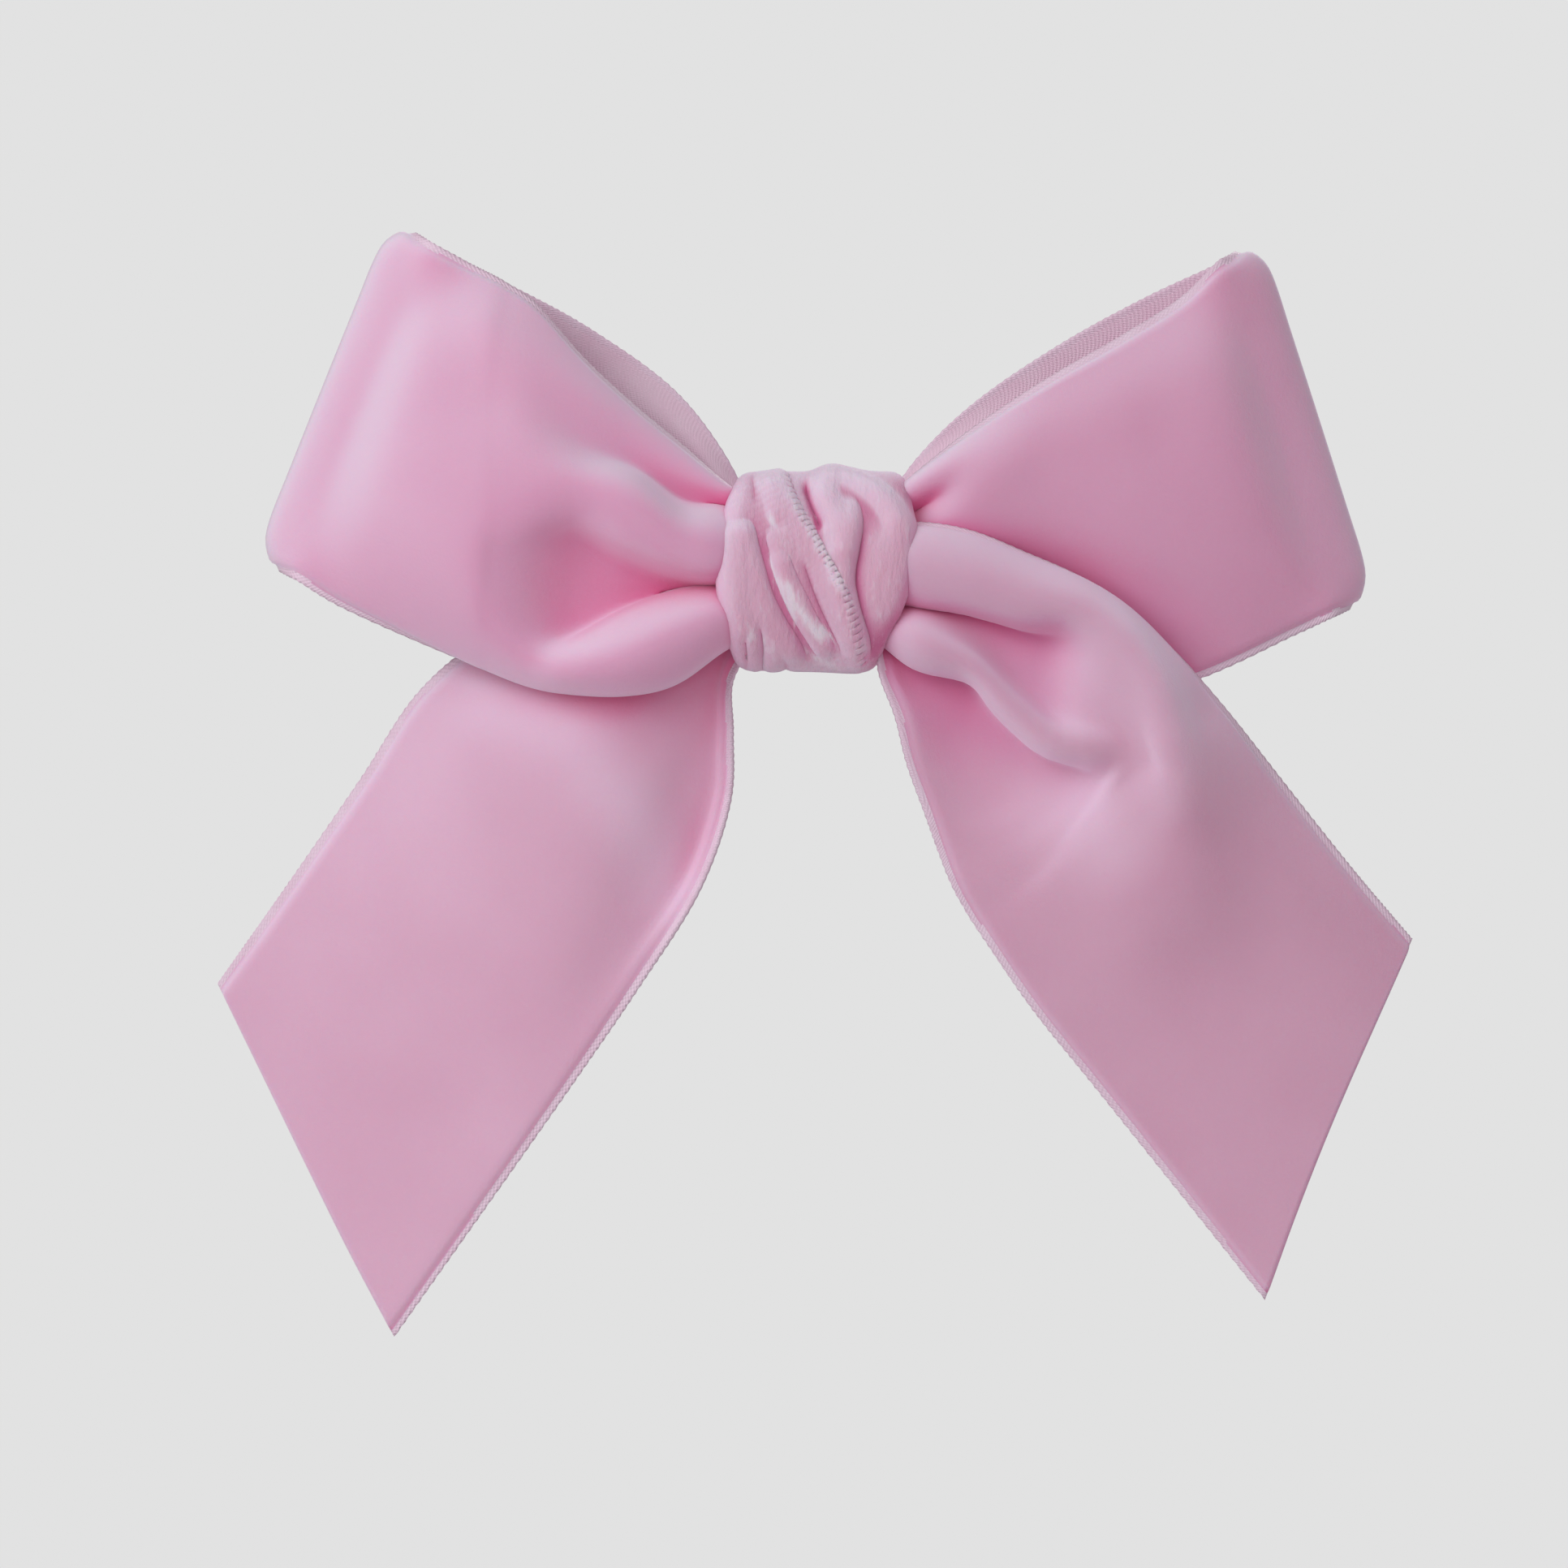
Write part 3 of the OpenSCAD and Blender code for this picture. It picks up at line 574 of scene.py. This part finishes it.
def knot_barrel(around):
    """The knot's smooth turn of ribbon, at angles round it from its front, with its edges turned in."""
    face = np.linspace(-1, 1, 110)
    turn = np.radians(np.linspace(15, 180, 10))
    hem = np.linspace(KNOT_HEM, 0.5, 4)
    grid = []
    for angle in around:
        up, front = math.sin(angle), math.cos(angle)
        left, right = np.interp(up, KNOT_UP, KNOT_LEFT), np.interp(up, KNOT_UP, KNOT_RIGHT)
        row = [(left + reach, 2 * KNOT_RIM) for reach in hem]
        for a in turn[::-1]:
            row.append((left - KNOT_RIM * math.sin(a), KNOT_RIM * (1 - math.cos(a))))
        for f in face:
            row.append((left + (right - left) * (f + 1) / 2, 0))
        for a in turn:
            row.append((right + KNOT_RIM * math.sin(a), KNOT_RIM * (1 - math.cos(a))))
        row += [(right - reach, 2 * KNOT_RIM) for reach in hem[::-1]]
        grid.append([(x, KNOT_Y - (KNOT_HALF_DEPTH - dip) * front,
                      KNOT_Z + (KNOT_HALF_HEIGHT - dip) * up) for x, dip in row])
    return np.array(grid)


def knot(materials):
    """The turn of ribbon round the knot, with its folds pressed into it."""
    around = np.linspace(math.radians(-179), math.radians(179), 360)
    grid = knot_barrel(around)
    past_top = np.abs(around) - math.pi / 2
    unrolled = np.where(past_top < 0, UNROLLED_TOP * np.sin(around),
                        np.sign(around) * (UNROLLED_TOP + UNROLLED_RATE * past_top))
    spots = np.stack([grid[..., 0], np.broadcast_to(unrolled[:, None], grid.shape[:2])], axis=-1)
    lift = total_lift(KNOT_FOLDS, spots)
    normal = grid_normals(grid)
    outward = unit((grid - [0, KNOT_Y, 0]) * [0, 1, 1])
    sign = np.sign((normal * outward).sum(-1).mean())
    grid = relax(grid + normal * sign * lift[..., None], 2)
    hollow = relax(lift.copy(), HOLLOW_REACH) - lift
    marks = [
        ("crush", total_lift(CRUSHED, spots)),
        ("hollow", hollow),
        # painted highlights
        ("painted_highlight", total_lift(HIGHLIGHTS_KNOT, spots)),
    ]
    return ribbon_mesh("knot_velvet", grid, materials, pile_side=sign, picots=False, marks=marks)


# ---------------------------------------------------------------- lining and thread

PLATE_RADIUS = 140.0      # the clip's curve, as in the CAD model
PLATE_THICKNESS = 0.8
LINING_THICKNESS = 0.5
LINING_WIDTH = 10.0       # of grosgrain, with both edges turned back beside the plate
LINING_LENGTH = 77.0
HEM_BEND = 0.25           # reach of the bend where an edge turns back
RIB_PITCH = 0.8
RIB_HEIGHT = 0.07
ROWS_PER_RIB = 5
THREAD_RADIUS = 0.22
THREAD_BEND = 0.5         # radius of the thread's corners
THREAD_TURNS = [side * (5 + 0.55 * n) for side in (-1, 1) for n in range(4)]   # x of each turn
TWISTS = 24               # turns of the two plies in one turn of the thread
PLY_RADIUS = 0.56         # as a share of the thread's radius
PLY_OFFSET = 0.44         # the same, from the thread's middle


def plate_sag(x, radius=PLATE_RADIUS):
    """How far the clip's curve has run back at x."""
    return radius - np.sqrt(radius**2 - x**2)


def lining(materials):
    """Grosgrain ribbon on the front of the clip's plate: ribs across it, round ends, turned-back edges."""
    low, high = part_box("lining_strip")
    front, half = low.y / MM, high.z / MM
    middle = LINING_THICKNESS / 2
    turned_back = (LINING_WIDTH - 2 * half) / 2
    side = [(half - 1, middle), (half - HEM_BEND, middle), (half, middle + 0.2),
            (half, middle + turned_back)]
    profile = [(-z, depth) for z, depth in side[::-1]] + [(0, middle)] + side
    rows = int(LINING_LENGTH / RIB_PITCH * ROWS_PER_RIB) + 1
    grid = []
    for x in np.linspace(-LINING_LENGTH / 2, LINING_LENGTH / 2, rows):
        past = max(0, abs(x) - LINING_LENGTH / 2 + half) / half
        width = max(math.sqrt(1 - min(past, 1) ** 2), 0.3)
        rib = RIB_HEIGHT * math.cos(2 * math.pi * x / RIB_PITCH)
        back = front + plate_sag(x, PLATE_RADIUS + LINING_THICKNESS) + rib
        grid.append([(x, back + depth, z * width) for z, depth in profile])
    return ribbon_mesh("lining_grosgrain", np.array(grid), materials, pile_side=-1, pile=SELVEDGE_PILE,
                       picots=False)


def thread_path(x):
    """Closed path of one turn of thread round the plate and its lining: a rectangle with round corners."""
    low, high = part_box("lining_strip")
    front_face = low.y / MM + plate_sag(x)
    front = front_face - THREAD_RADIUS + THREAD_BEND
    back = front_face + LINING_THICKNESS + PLATE_THICKNESS + THREAD_RADIUS - THREAD_BEND
    top = high.z / MM + THREAD_RADIUS - THREAD_BEND
    corners = [(back, top), (front, top), (front, -top), (back, -top)]
    path = []
    for quarter, (y, z) in enumerate(corners):
        for angle in np.radians(np.linspace(90 * quarter, 90 * quarter + 90, 7)):
            path.append((x, y + THREAD_BEND * math.cos(angle), z + THREAD_BEND * math.sin(angle)))
    path = np.array(path + path[:1])
    run = np.concatenate([[0], np.cumsum(np.linalg.norm(np.diff(path, axis=0), axis=1))])
    even = np.linspace(0, run[-1], 200, endpoint=False)
    return np.stack([np.interp(even, run, path[:, axis]) for axis in range(3)], axis=1)


def wound_tube(path, radius, spin, offset, sides=8):
    """Points and faces of a closed tube that winds round a path, at an offset from it. spin is its
    angle round the path at each point."""
    forward = unit(np.roll(path, -1, axis=0) - np.roll(path, 1, axis=0))
    aside = np.array([1.0, 0, 0])
    upward = np.cross(forward, aside)
    path = path + offset * (np.cos(spin)[:, None] * aside + np.sin(spin)[:, None] * upward)
    around = np.linspace(0, 2 * math.pi, sides, endpoint=False)
    spokes = np.cos(around)[None, :, None] * aside + np.sin(around)[None, :, None] * upward[:, None]
    points = path[:, None] + radius * spokes
    index = np.arange(len(path) * sides).reshape(len(path), sides)
    after, beside = np.roll(index, -1, axis=0), np.roll(index, -1, axis=1)
    faces = np.stack([index, after, np.roll(after, -1, axis=1), beside], axis=-1).reshape(-1, 4)
    return points.reshape(-1, 3), faces


def binding(material):
    """The turns of thread that bind the bow to the clip, each of two plies twisted together."""
    points, faces = [], []
    for x in THREAD_TURNS:
        path = thread_path(x)
        twist = np.linspace(0, 2 * math.pi * TWISTS, len(path), endpoint=False)
        for start in (0, math.pi):
            ply, ply_faces = wound_tube(path, THREAD_RADIUS * PLY_RADIUS, twist + start,
                                        THREAD_RADIUS * PLY_OFFSET)
            faces.append(ply_faces + len(points) * len(ply))
            points.append(ply)
    return add_piece("binding_thread", np.concatenate(points), np.concatenate(faces), [material])


# ---------------------------------------------------------------- materials


def new_material(name):
    """A material, its node tree and its shader."""
    material = bpy.data.materials.new(name)
    material.use_nodes = True
    return material, material.node_tree, material.node_tree.nodes["Principled BSDF"]


def connect(tree, value, socket):
    """Feeds a socket from another node's output, or sets it to a constant."""
    if isinstance(value, bpy.types.NodeSocket):
        tree.links.new(value, socket)
    else:
        socket.default_value = value


def add_node(tree, kind, **settings):
    """A node, with its settings and its inputs given by name."""
    node = tree.nodes.new(kind)
    for key, value in settings.items():
        if key in node.inputs:
            connect(tree, value, node.inputs[key])
        else:
            setattr(node, key, value)
    return node


def maths(tree, operation, *values, clamp=False):
    node = add_node(tree, "ShaderNodeMath", operation=operation, use_clamp=clamp)
    for value, socket in zip(values, node.inputs):
        connect(tree, value, socket)
    return node.outputs[0]


def map_range(tree, value, start, stop, low=0.0, high=1.0):
    """Maps a value from start..stop to low..high."""
    limits = {"From Min": start, "From Max": stop, "To Min": low, "To Max": high}
    return add_node(tree, "ShaderNodeMapRange", Value=value, **limits).outputs["Result"]


def blend(tree, factor, first, second, kind="MIX"):
    """Mix of two colours."""
    node = add_node(tree, "ShaderNodeMix", data_type="RGBA", blend_type=kind, Factor=factor,
                    A=first, B=second)
    return node.outputs["Result"]


def colour_ramp(tree, factor, stops):
    """Colour from a factor, by (position, colour) stops."""
    ramp = add_node(tree, "ShaderNodeValToRGB", Fac=factor)
    elements = ramp.color_ramp.elements
    for element, (position, colour) in zip(elements, (stops[0], stops[-1])):
        element.position = position
        element.color = (*colour, 1)
    for position, colour in stops[1:-1]:
        elements.new(position).color = (*colour, 1)
    return ramp.outputs["Color"]


def object_place(tree):
    return add_node(tree, "ShaderNodeTexCoord").outputs["Object"]


def noise(tree, place, scale, detail, roughness=0.5):
    node = add_node(tree, "ShaderNodeTexNoise", Vector=place, Scale=scale, Detail=detail,
                    Roughness=roughness)
    return node.outputs["Fac"]


def stretched(tree, place, scale, turn=0.0):
    """A place turned about y and scaled along each axis, for a texture that runs one way."""
    node = add_node(tree, "ShaderNodeMapping", Vector=place, Rotation=(0, turn, 0), Scale=scale)
    return node.outputs["Vector"]


def bump(tree, height, strength, distance):
    return add_node(tree, "ShaderNodeBump", Height=height, Strength=strength, Distance=distance)


def mark(tree, name):
    """Value of a mark that ribbon_mesh stored on the piece."""
    return add_node(tree, "ShaderNodeAttribute", attribute_name=name).outputs["Fac"]


PAINTED_LIGHT_SIDE = (-0.55, 0.0, 0.83)         # painted sheen and shade: where the surface faces this way, up and to the left, the pile is painted paler
PAINTED_SHEEN = (1.0, 0.78, 0.95, 1)     # painted sheen: pale lilac where the pile is seen from the side or faces up and to the left
GROOVE_SHADE = (0.68, 0.17, 0.35, 1)   # painted shade: dark pink in the grooves of the crushed pile
MATTED = (0.96, 0.78, 0.88, 1)   # crushed pile where it lies flat
GROOVE_DEPTH = (0.05, 0.42)      # hollow mark where the painted shade of a groove starts to show, and where it is darkest
FOLD_SHADE = [                    # painted shade: deeper pink in folds and recesses, by how open the place is
    (0.15, (0.780, 0.150, 0.350)),
    (0.45, (0.830, 0.230, 0.430)),
    (0.72, (0.850, 0.320, 0.520)),
    (0.92, (1.0, 0.580, 0.760)),
]


def crushed_pile_and_groove_shade(tree, place, colour):
    """Colour of crushed pile over its plain colour, with painted shade in its grooves, and the normal of its
    wrinkles.
    """
    # Painted shade: dark pink in the knot's grooves
    in_groove = map_range(tree, mark(tree, "hollow"), *GROOVE_DEPTH)
    colour = blend(tree, in_groove, colour, GROOVE_SHADE)
    streaks = noise(tree, stretched(tree, place, (1500, 600, 420), math.radians(-26)), 1.0, 4.0, 0.6)
    flat = maths(tree, "MULTIPLY_ADD", mark(tree, "crush"), 0.55, streaks)
    colour = blend(tree, map_range(tree, flat, 0.57, 0.98), colour, MATTED)
    return colour, bump(tree, streaks, 0.6, 0.0005).outputs["Normal"]


def velvet_material(name, low, high, crushed=False):
    """Short pile: matt pink between low and high, with painted sheen that pales it at a glancing angle and
    where it faces up and to the left, painted highlights, and painted shade that deepens it inside the
    folds.
    Crushed pile also has painted shade in its grooves and is matted in pale streaks."""
    material, tree, shader = new_material(name)
    place = object_place(tree)
    # Painted light and shade by which way the surface faces: up and to the left is painted paler
    facing_lit_side = add_node(tree, "ShaderNodeVectorMath", operation="DOT_PRODUCT")
    connect(tree, add_node(tree, "ShaderNodeTexCoord").outputs["Normal"], facing_lit_side.inputs[0])
    connect(tree, PAINTED_LIGHT_SIDE, facing_lit_side.inputs[1])
    painted_light = facing_lit_side.outputs["Value"]
    openness = add_node(tree, "ShaderNodeAmbientOcclusion", samples=8, Distance=0.011).outputs["AO"]
    open_pile = colour_ramp(tree, noise(tree, place, 45.0, 2.0), [(0.3, low), (0.7, high)])
    # Painted shade: the pink deepens in folds and recesses, and a little where the surface faces away from
    # up and to the left
    deep = colour_ramp(tree, maths(tree, "MULTIPLY_ADD", painted_light, 0.16, openness), FOLD_SHADE)
    colour = blend(tree, 1.0, open_pile, deep, "DARKEN")
    fibres = bump(tree, noise(tree, place, 2600.0, 2.0, 0.6), 0.3, 0.00012)

    # Painted sheen: paler at a glancing angle and where the surface faces up and to the left, with painted
    # highlights added, and faded in the painted shade of the folds
    edge_on = add_node(tree, "ShaderNodeLayerWeight", Blend=0.62).outputs["Facing"]
    painted_sheen_amount = maths(tree, "MULTIPLY_ADD", painted_light, 0.48, edge_on)
    pale = maths(tree, "ADD", painted_sheen_amount, mark(tree, "painted_highlight"), clamp=True)
    pale = maths(tree, "MULTIPLY", pale, openness)
    if crushed:
        colour, wrinkles = crushed_pile_and_groove_shade(tree, place, colour)
        connect(tree, wrinkles, fibres.inputs["Normal"])
        # No painted sheen or highlight in the grooves, under their painted shade
        above = map_range(tree, mark(tree, "hollow"), *reversed(GROOVE_DEPTH))
        pale = maths(tree, "MULTIPLY", pale, above)

    connect(tree, blend(tree, pale, colour, PAINTED_SHEEN), shader.inputs["Base Color"])
    connect(tree, fibres.outputs["Normal"], shader.inputs["Normal"])
    shader.inputs["Subsurface Weight"].default_value = 0.35
    shader.inputs["Subsurface Radius"].default_value = (1.0, 0.35, 0.5)
    shader.inputs["Subsurface Scale"].default_value = 0.002
    shader.inputs["Roughness"].default_value = 0.9
    shader.inputs["Specular IOR Level"].default_value = 0.12
    shader.inputs["Sheen Weight"].default_value = 0.85
    shader.inputs["Sheen Roughness"].default_value = 0.38
    shader.inputs["Sheen Tint"].default_value = (0.95, 0.84, 0.98, 1)
    return material


def woven_material(name, low, high, rib):
    """Plain weave seen as fine ribs across the ribbon, rib millimetres apart."""
    material, tree, shader = new_material(name)
    flat = add_node(tree, "ShaderNodeAttribute", attribute_name="flat_mm").outputs["Vector"]
    run = add_node(tree, "ShaderNodeSeparateXYZ", Vector=flat).outputs
    warp = maths(tree, "SINE", maths(tree, "MULTIPLY", run["X"], 2 * math.pi / rib))
    weft = maths(tree, "SINE", maths(tree, "MULTIPLY", run["Y"], 2 * math.pi / (rib * 0.7)))
    weave = maths(tree, "MULTIPLY", warp, weft)
    tone = maths(tree, "MULTIPLY_ADD", weave, 0.14, noise(tree, object_place(tree), 400.0, 3.0))
    connect(tree, colour_ramp(tree, tone, [(0.3, low), (0.75, high)]), shader.inputs["Base Color"])
    connect(tree, bump(tree, weave, 0.5, 0.00008).outputs["Normal"], shader.inputs["Normal"])
    shader.inputs["Roughness"].default_value = 0.55
    shader.inputs["Specular IOR Level"].default_value = 0.35
    shader.inputs["Sheen Weight"].default_value = 0.35
    shader.inputs["Sheen Roughness"].default_value = 0.4
    shader.inputs["Sheen Tint"].default_value = (1.0, 0.88, 0.95, 1)
    return material


def banded_material(name, dark, light, relief, **bands):
    """Thread or ribbed ribbon: bands of two tones, the light ones raised by relief, (strength, depth)."""
    material, tree, shader = new_material(name)
    waves = add_node(tree, "ShaderNodeTexWave", Vector=object_place(tree), **bands).outputs["Fac"]
    connect(tree, colour_ramp(tree, waves, [(0.0, dark), (1.0, light)]), shader.inputs["Base Color"])
    connect(tree, bump(tree, waves, *relief).outputs["Normal"], shader.inputs["Normal"])
    return material, shader


def grosgrain_material():
    """Ribbed lining ribbon: ribs across its length."""
    material, shader = banded_material("grosgrain_lining", (0.52, 0.25, 0.36), (0.76, 0.48, 0.60),
                                       (0.8, 0.00015), Scale=330.0, Distortion=0.4, Detail=1.0,
                                       bands_direction="X")
    shader.inputs["Roughness"].default_value = 0.7
    shader.inputs["Sheen Weight"].default_value = 0.3
    return material


def thread_material():
    """Twisted sewing thread: slanting plies."""
    material, shader = banded_material("sewing_thread", (0.55, 0.30, 0.42), (0.86, 0.62, 0.74),
                                       (0.7, 0.0001), Scale=900.0, Distortion=1.0,
                                       bands_direction="DIAGONAL")
    shader.inputs["Roughness"].default_value = 0.6
    return material


def metal_material(name, dark, light, roughness, brush):
    """Metal with fine brushing along x, a few cloudy wear marks and softened edges."""
    material, tree, shader = new_material(name)
    place = object_place(tree)
    lines = noise(tree, stretched(tree, place, (120, 2600, 2600)), 1.0, 3.0)
    cloud = noise(tree, place, 160.0, 4.0)
    worn = map_range(tree, cloud, 0.0, 1.0, roughness - 0.08, roughness + 0.12)
    soft_edge = add_node(tree, "ShaderNodeBevel", samples=4, Radius=0.00012).outputs["Normal"]
    brushing = bump(tree, lines, brush, 0.00003)
    connect(tree, soft_edge, brushing.inputs["Normal"])
    connect(tree, colour_ramp(tree, cloud, [(0.35, dark), (0.65, light)]), shader.inputs["Base Color"])
    connect(tree, worn, shader.inputs["Roughness"])
    connect(tree, brushing.outputs["Normal"], shader.inputs["Normal"])
    shader.inputs["Metallic"].default_value = 1.0
    return material


def paint(nodes_named, material):
    """Gives CAD nodes a material in place of the plain one."""
    for name in nodes_named:
        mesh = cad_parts[name].data
        mesh.materials.clear()
        mesh.materials.append(material)


# ---------------------------------------------------------------- camera, lights and floor

VIEW_CENTRE = (-3.76, -23.65)   # what the picture is centred on, (x, z)
VIEW_PLANE = -13.0              # y of the plane it is measured in, about the bow's own
VIEW_WIDTH = 173.1              # width of the picture in that plane
VIEW_DISTANCE = 900.0
SENSOR = 36.0
FLOOR_RADIUS = 180.0
FLOOR_Z = -130.0
FLOOR_SIDES = 96


def make_camera():
    """A camera straight in front of the bow, far off."""
    data = bpy.data.cameras.new("camera")
    data.sensor_width = SENSOR
    data.lens = SENSOR * VIEW_DISTANCE / VIEW_WIDTH
    data.clip_start = 0.05
    data.clip_end = 10
    camera = bpy.data.objects.new("camera", data)
    camera.location = (VIEW_CENTRE[0] * MM, (VIEW_PLANE - VIEW_DISTANCE) * MM, VIEW_CENTRE[1] * MM)
    camera.rotation_euler = (math.pi / 2, 0, 0)
    bpy.context.scene.collection.objects.link(camera)
    bpy.context.scene.camera = camera


def area_light(name, place, size, power):
    """A round light that faces the bow, with its place and its size in metres."""
    data = bpy.data.lights.new(name, "AREA")
    data.shape = "DISK"
    data.size = size
    data.energy = power
    light = bpy.data.objects.new(name, data)
    light.location = place
    light.rotation_euler = (-Vector(place)).to_track_quat("-Z", "Y").to_euler()
    bpy.context.scene.collection.objects.link(light)


def make_lights():
    area_light("key", (-0.32, -0.38, 0.17), 0.36, 1.02)
    area_light("fill", (0.05, -0.75, 0.45), 0.9, 0.98)
    area_light("back", (0.3, 1.1, 0.6), 0.6, 5.0)


def make_world():
    """Pale studio surroundings: what the camera sees is paler than what lights the bow."""
    world = bpy.data.worlds.new("studio")
    bpy.context.scene.world = world
    world.use_nodes = True
    tree = world.node_tree
    tree.nodes.clear()
    seen = add_node(tree, "ShaderNodeBackground", Color=(0.760, 0.760, 0.760, 1), Strength=1.0)
    lit = add_node(tree, "ShaderNodeBackground", Color=(1.0, 0.95, 0.98, 1), Strength=0.35)
    to_camera = add_node(tree, "ShaderNodeLightPath").outputs["Is Camera Ray"]
    choose = add_node(tree, "ShaderNodeMixShader")
    for value, socket in zip((to_camera, lit.outputs[0], seen.outputs[0]), choose.inputs):
        connect(tree, value, socket)
    add_node(tree, "ShaderNodeOutputWorld", Surface=choose.outputs[0])


def make_floor():
    """A small pale disc below the bow."""
    material, tree, shader = new_material("pale_floor")
    cloud = add_node(tree, "ShaderNodeTexNoise", Scale=20.0, Detail=3.0).outputs["Fac"]
    tone = colour_ramp(tree, cloud, [(0.3, (0.74, 0.74, 0.74)), (0.7, (0.78, 0.78, 0.78))])
    connect(tree, tone, shader.inputs["Base Color"])
    shader.inputs["Roughness"].default_value = 0.8
    angles = np.linspace(0, 2 * math.pi, FLOOR_SIDES, endpoint=False)
    rim = [(FLOOR_RADIUS * math.cos(a), FLOOR_RADIUS * math.sin(a), FLOOR_Z) for a in angles]
    floor = add_piece("floor", rim, [range(FLOOR_SIDES)], [material], smooth=False)


# ---------------------------------------------------------------- scene

bpy.context.scene.view_settings.view_transform = "Standard"
make_camera()
make_lights()
make_world()
make_floor()

woven_back = woven_material("woven_back", (0.99, 0.70, 0.86), (1.0, 0.76, 0.90), 0.5)
selvedge = woven_material("selvedge", (0.92, 0.67, 0.82), (0.96, 0.76, 0.90), 0.6)

# Each stretch of the ribbon has its own pink: painted light, paler on the pieces to the left and darker on
# those to the right, where less light falls
PAINTED_LIGHT_TONES = {
    "loop_left": ((0.850, 0.415, 0.625), (0.900, 0.485, 0.685)),
    "tail_left": ((0.820, 0.500, 0.670), (0.870, 0.560, 0.730)),
    "loop_right": ((0.750, 0.370, 0.550), (0.830, 0.440, 0.630)),
    "tail_right": ((0.740, 0.430, 0.590), (0.790, 0.490, 0.650)),
}
ribbon = {name: [velvet_material("velvet_" + name, *painted_light), selvedge, woven_back]
          for name, painted_light in PAINTED_LIGHT_TONES.items()}
# The knot's crushed velvet, with painted shade in its grooves
worn_and_shaded_velvet = velvet_material("velvet_knot", (0.800, 0.440, 0.595), (0.880, 0.530, 0.685), crushed=True)

SHEETS = [
    # piece, what it replaces, the length of ribbon in it, how it is held
    (loop_left(ribbon["loop_left"]), ("loop_left_front", "loop_left_back"), 0.122, "folded"),
    (loop_right(ribbon["loop_right"]), ("loop_right_front", "loop_right_back"), 0.120, "folded"),
    (tail_left(ribbon["tail_left"]), ("tail_left",), 0.088, "hung"),
    (tail_right(ribbon["tail_right"]), ("tail_right",), 0.096, "hung"),
    (knot([worn_and_shaded_velvet, selvedge, woven_back]), ("knot_wrap", "knot_core"), 0.058, "gathered"),
]
for piece, nodes_named, length, held in SHEETS:
    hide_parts(*nodes_named)
    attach(piece, "root")

nickel = metal_material("nickel_plate", (0.67, 0.65, 0.62), (0.74, 0.72, 0.69), 0.26, 0.25)
steel = metal_material("spring_steel", (0.48, 0.48, 0.49), (0.56, 0.56, 0.57), 0.32, 0.4)
paint(["clip_plate", "clasp_arm", "catch_tab_upper", "catch_tab_lower", "catch_head", "leaf_rivets"], nickel)
paint(["tension_leaf", "hinge_pin", "catch_pin"], steel)

grosgrain = grosgrain_material()
lining_piece = lining([grosgrain] * 3)
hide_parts("lining_strip")
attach(lining_piece, "root")
thread_piece = binding(thread_material())
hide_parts("thread_binding")
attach(thread_piece, "root")
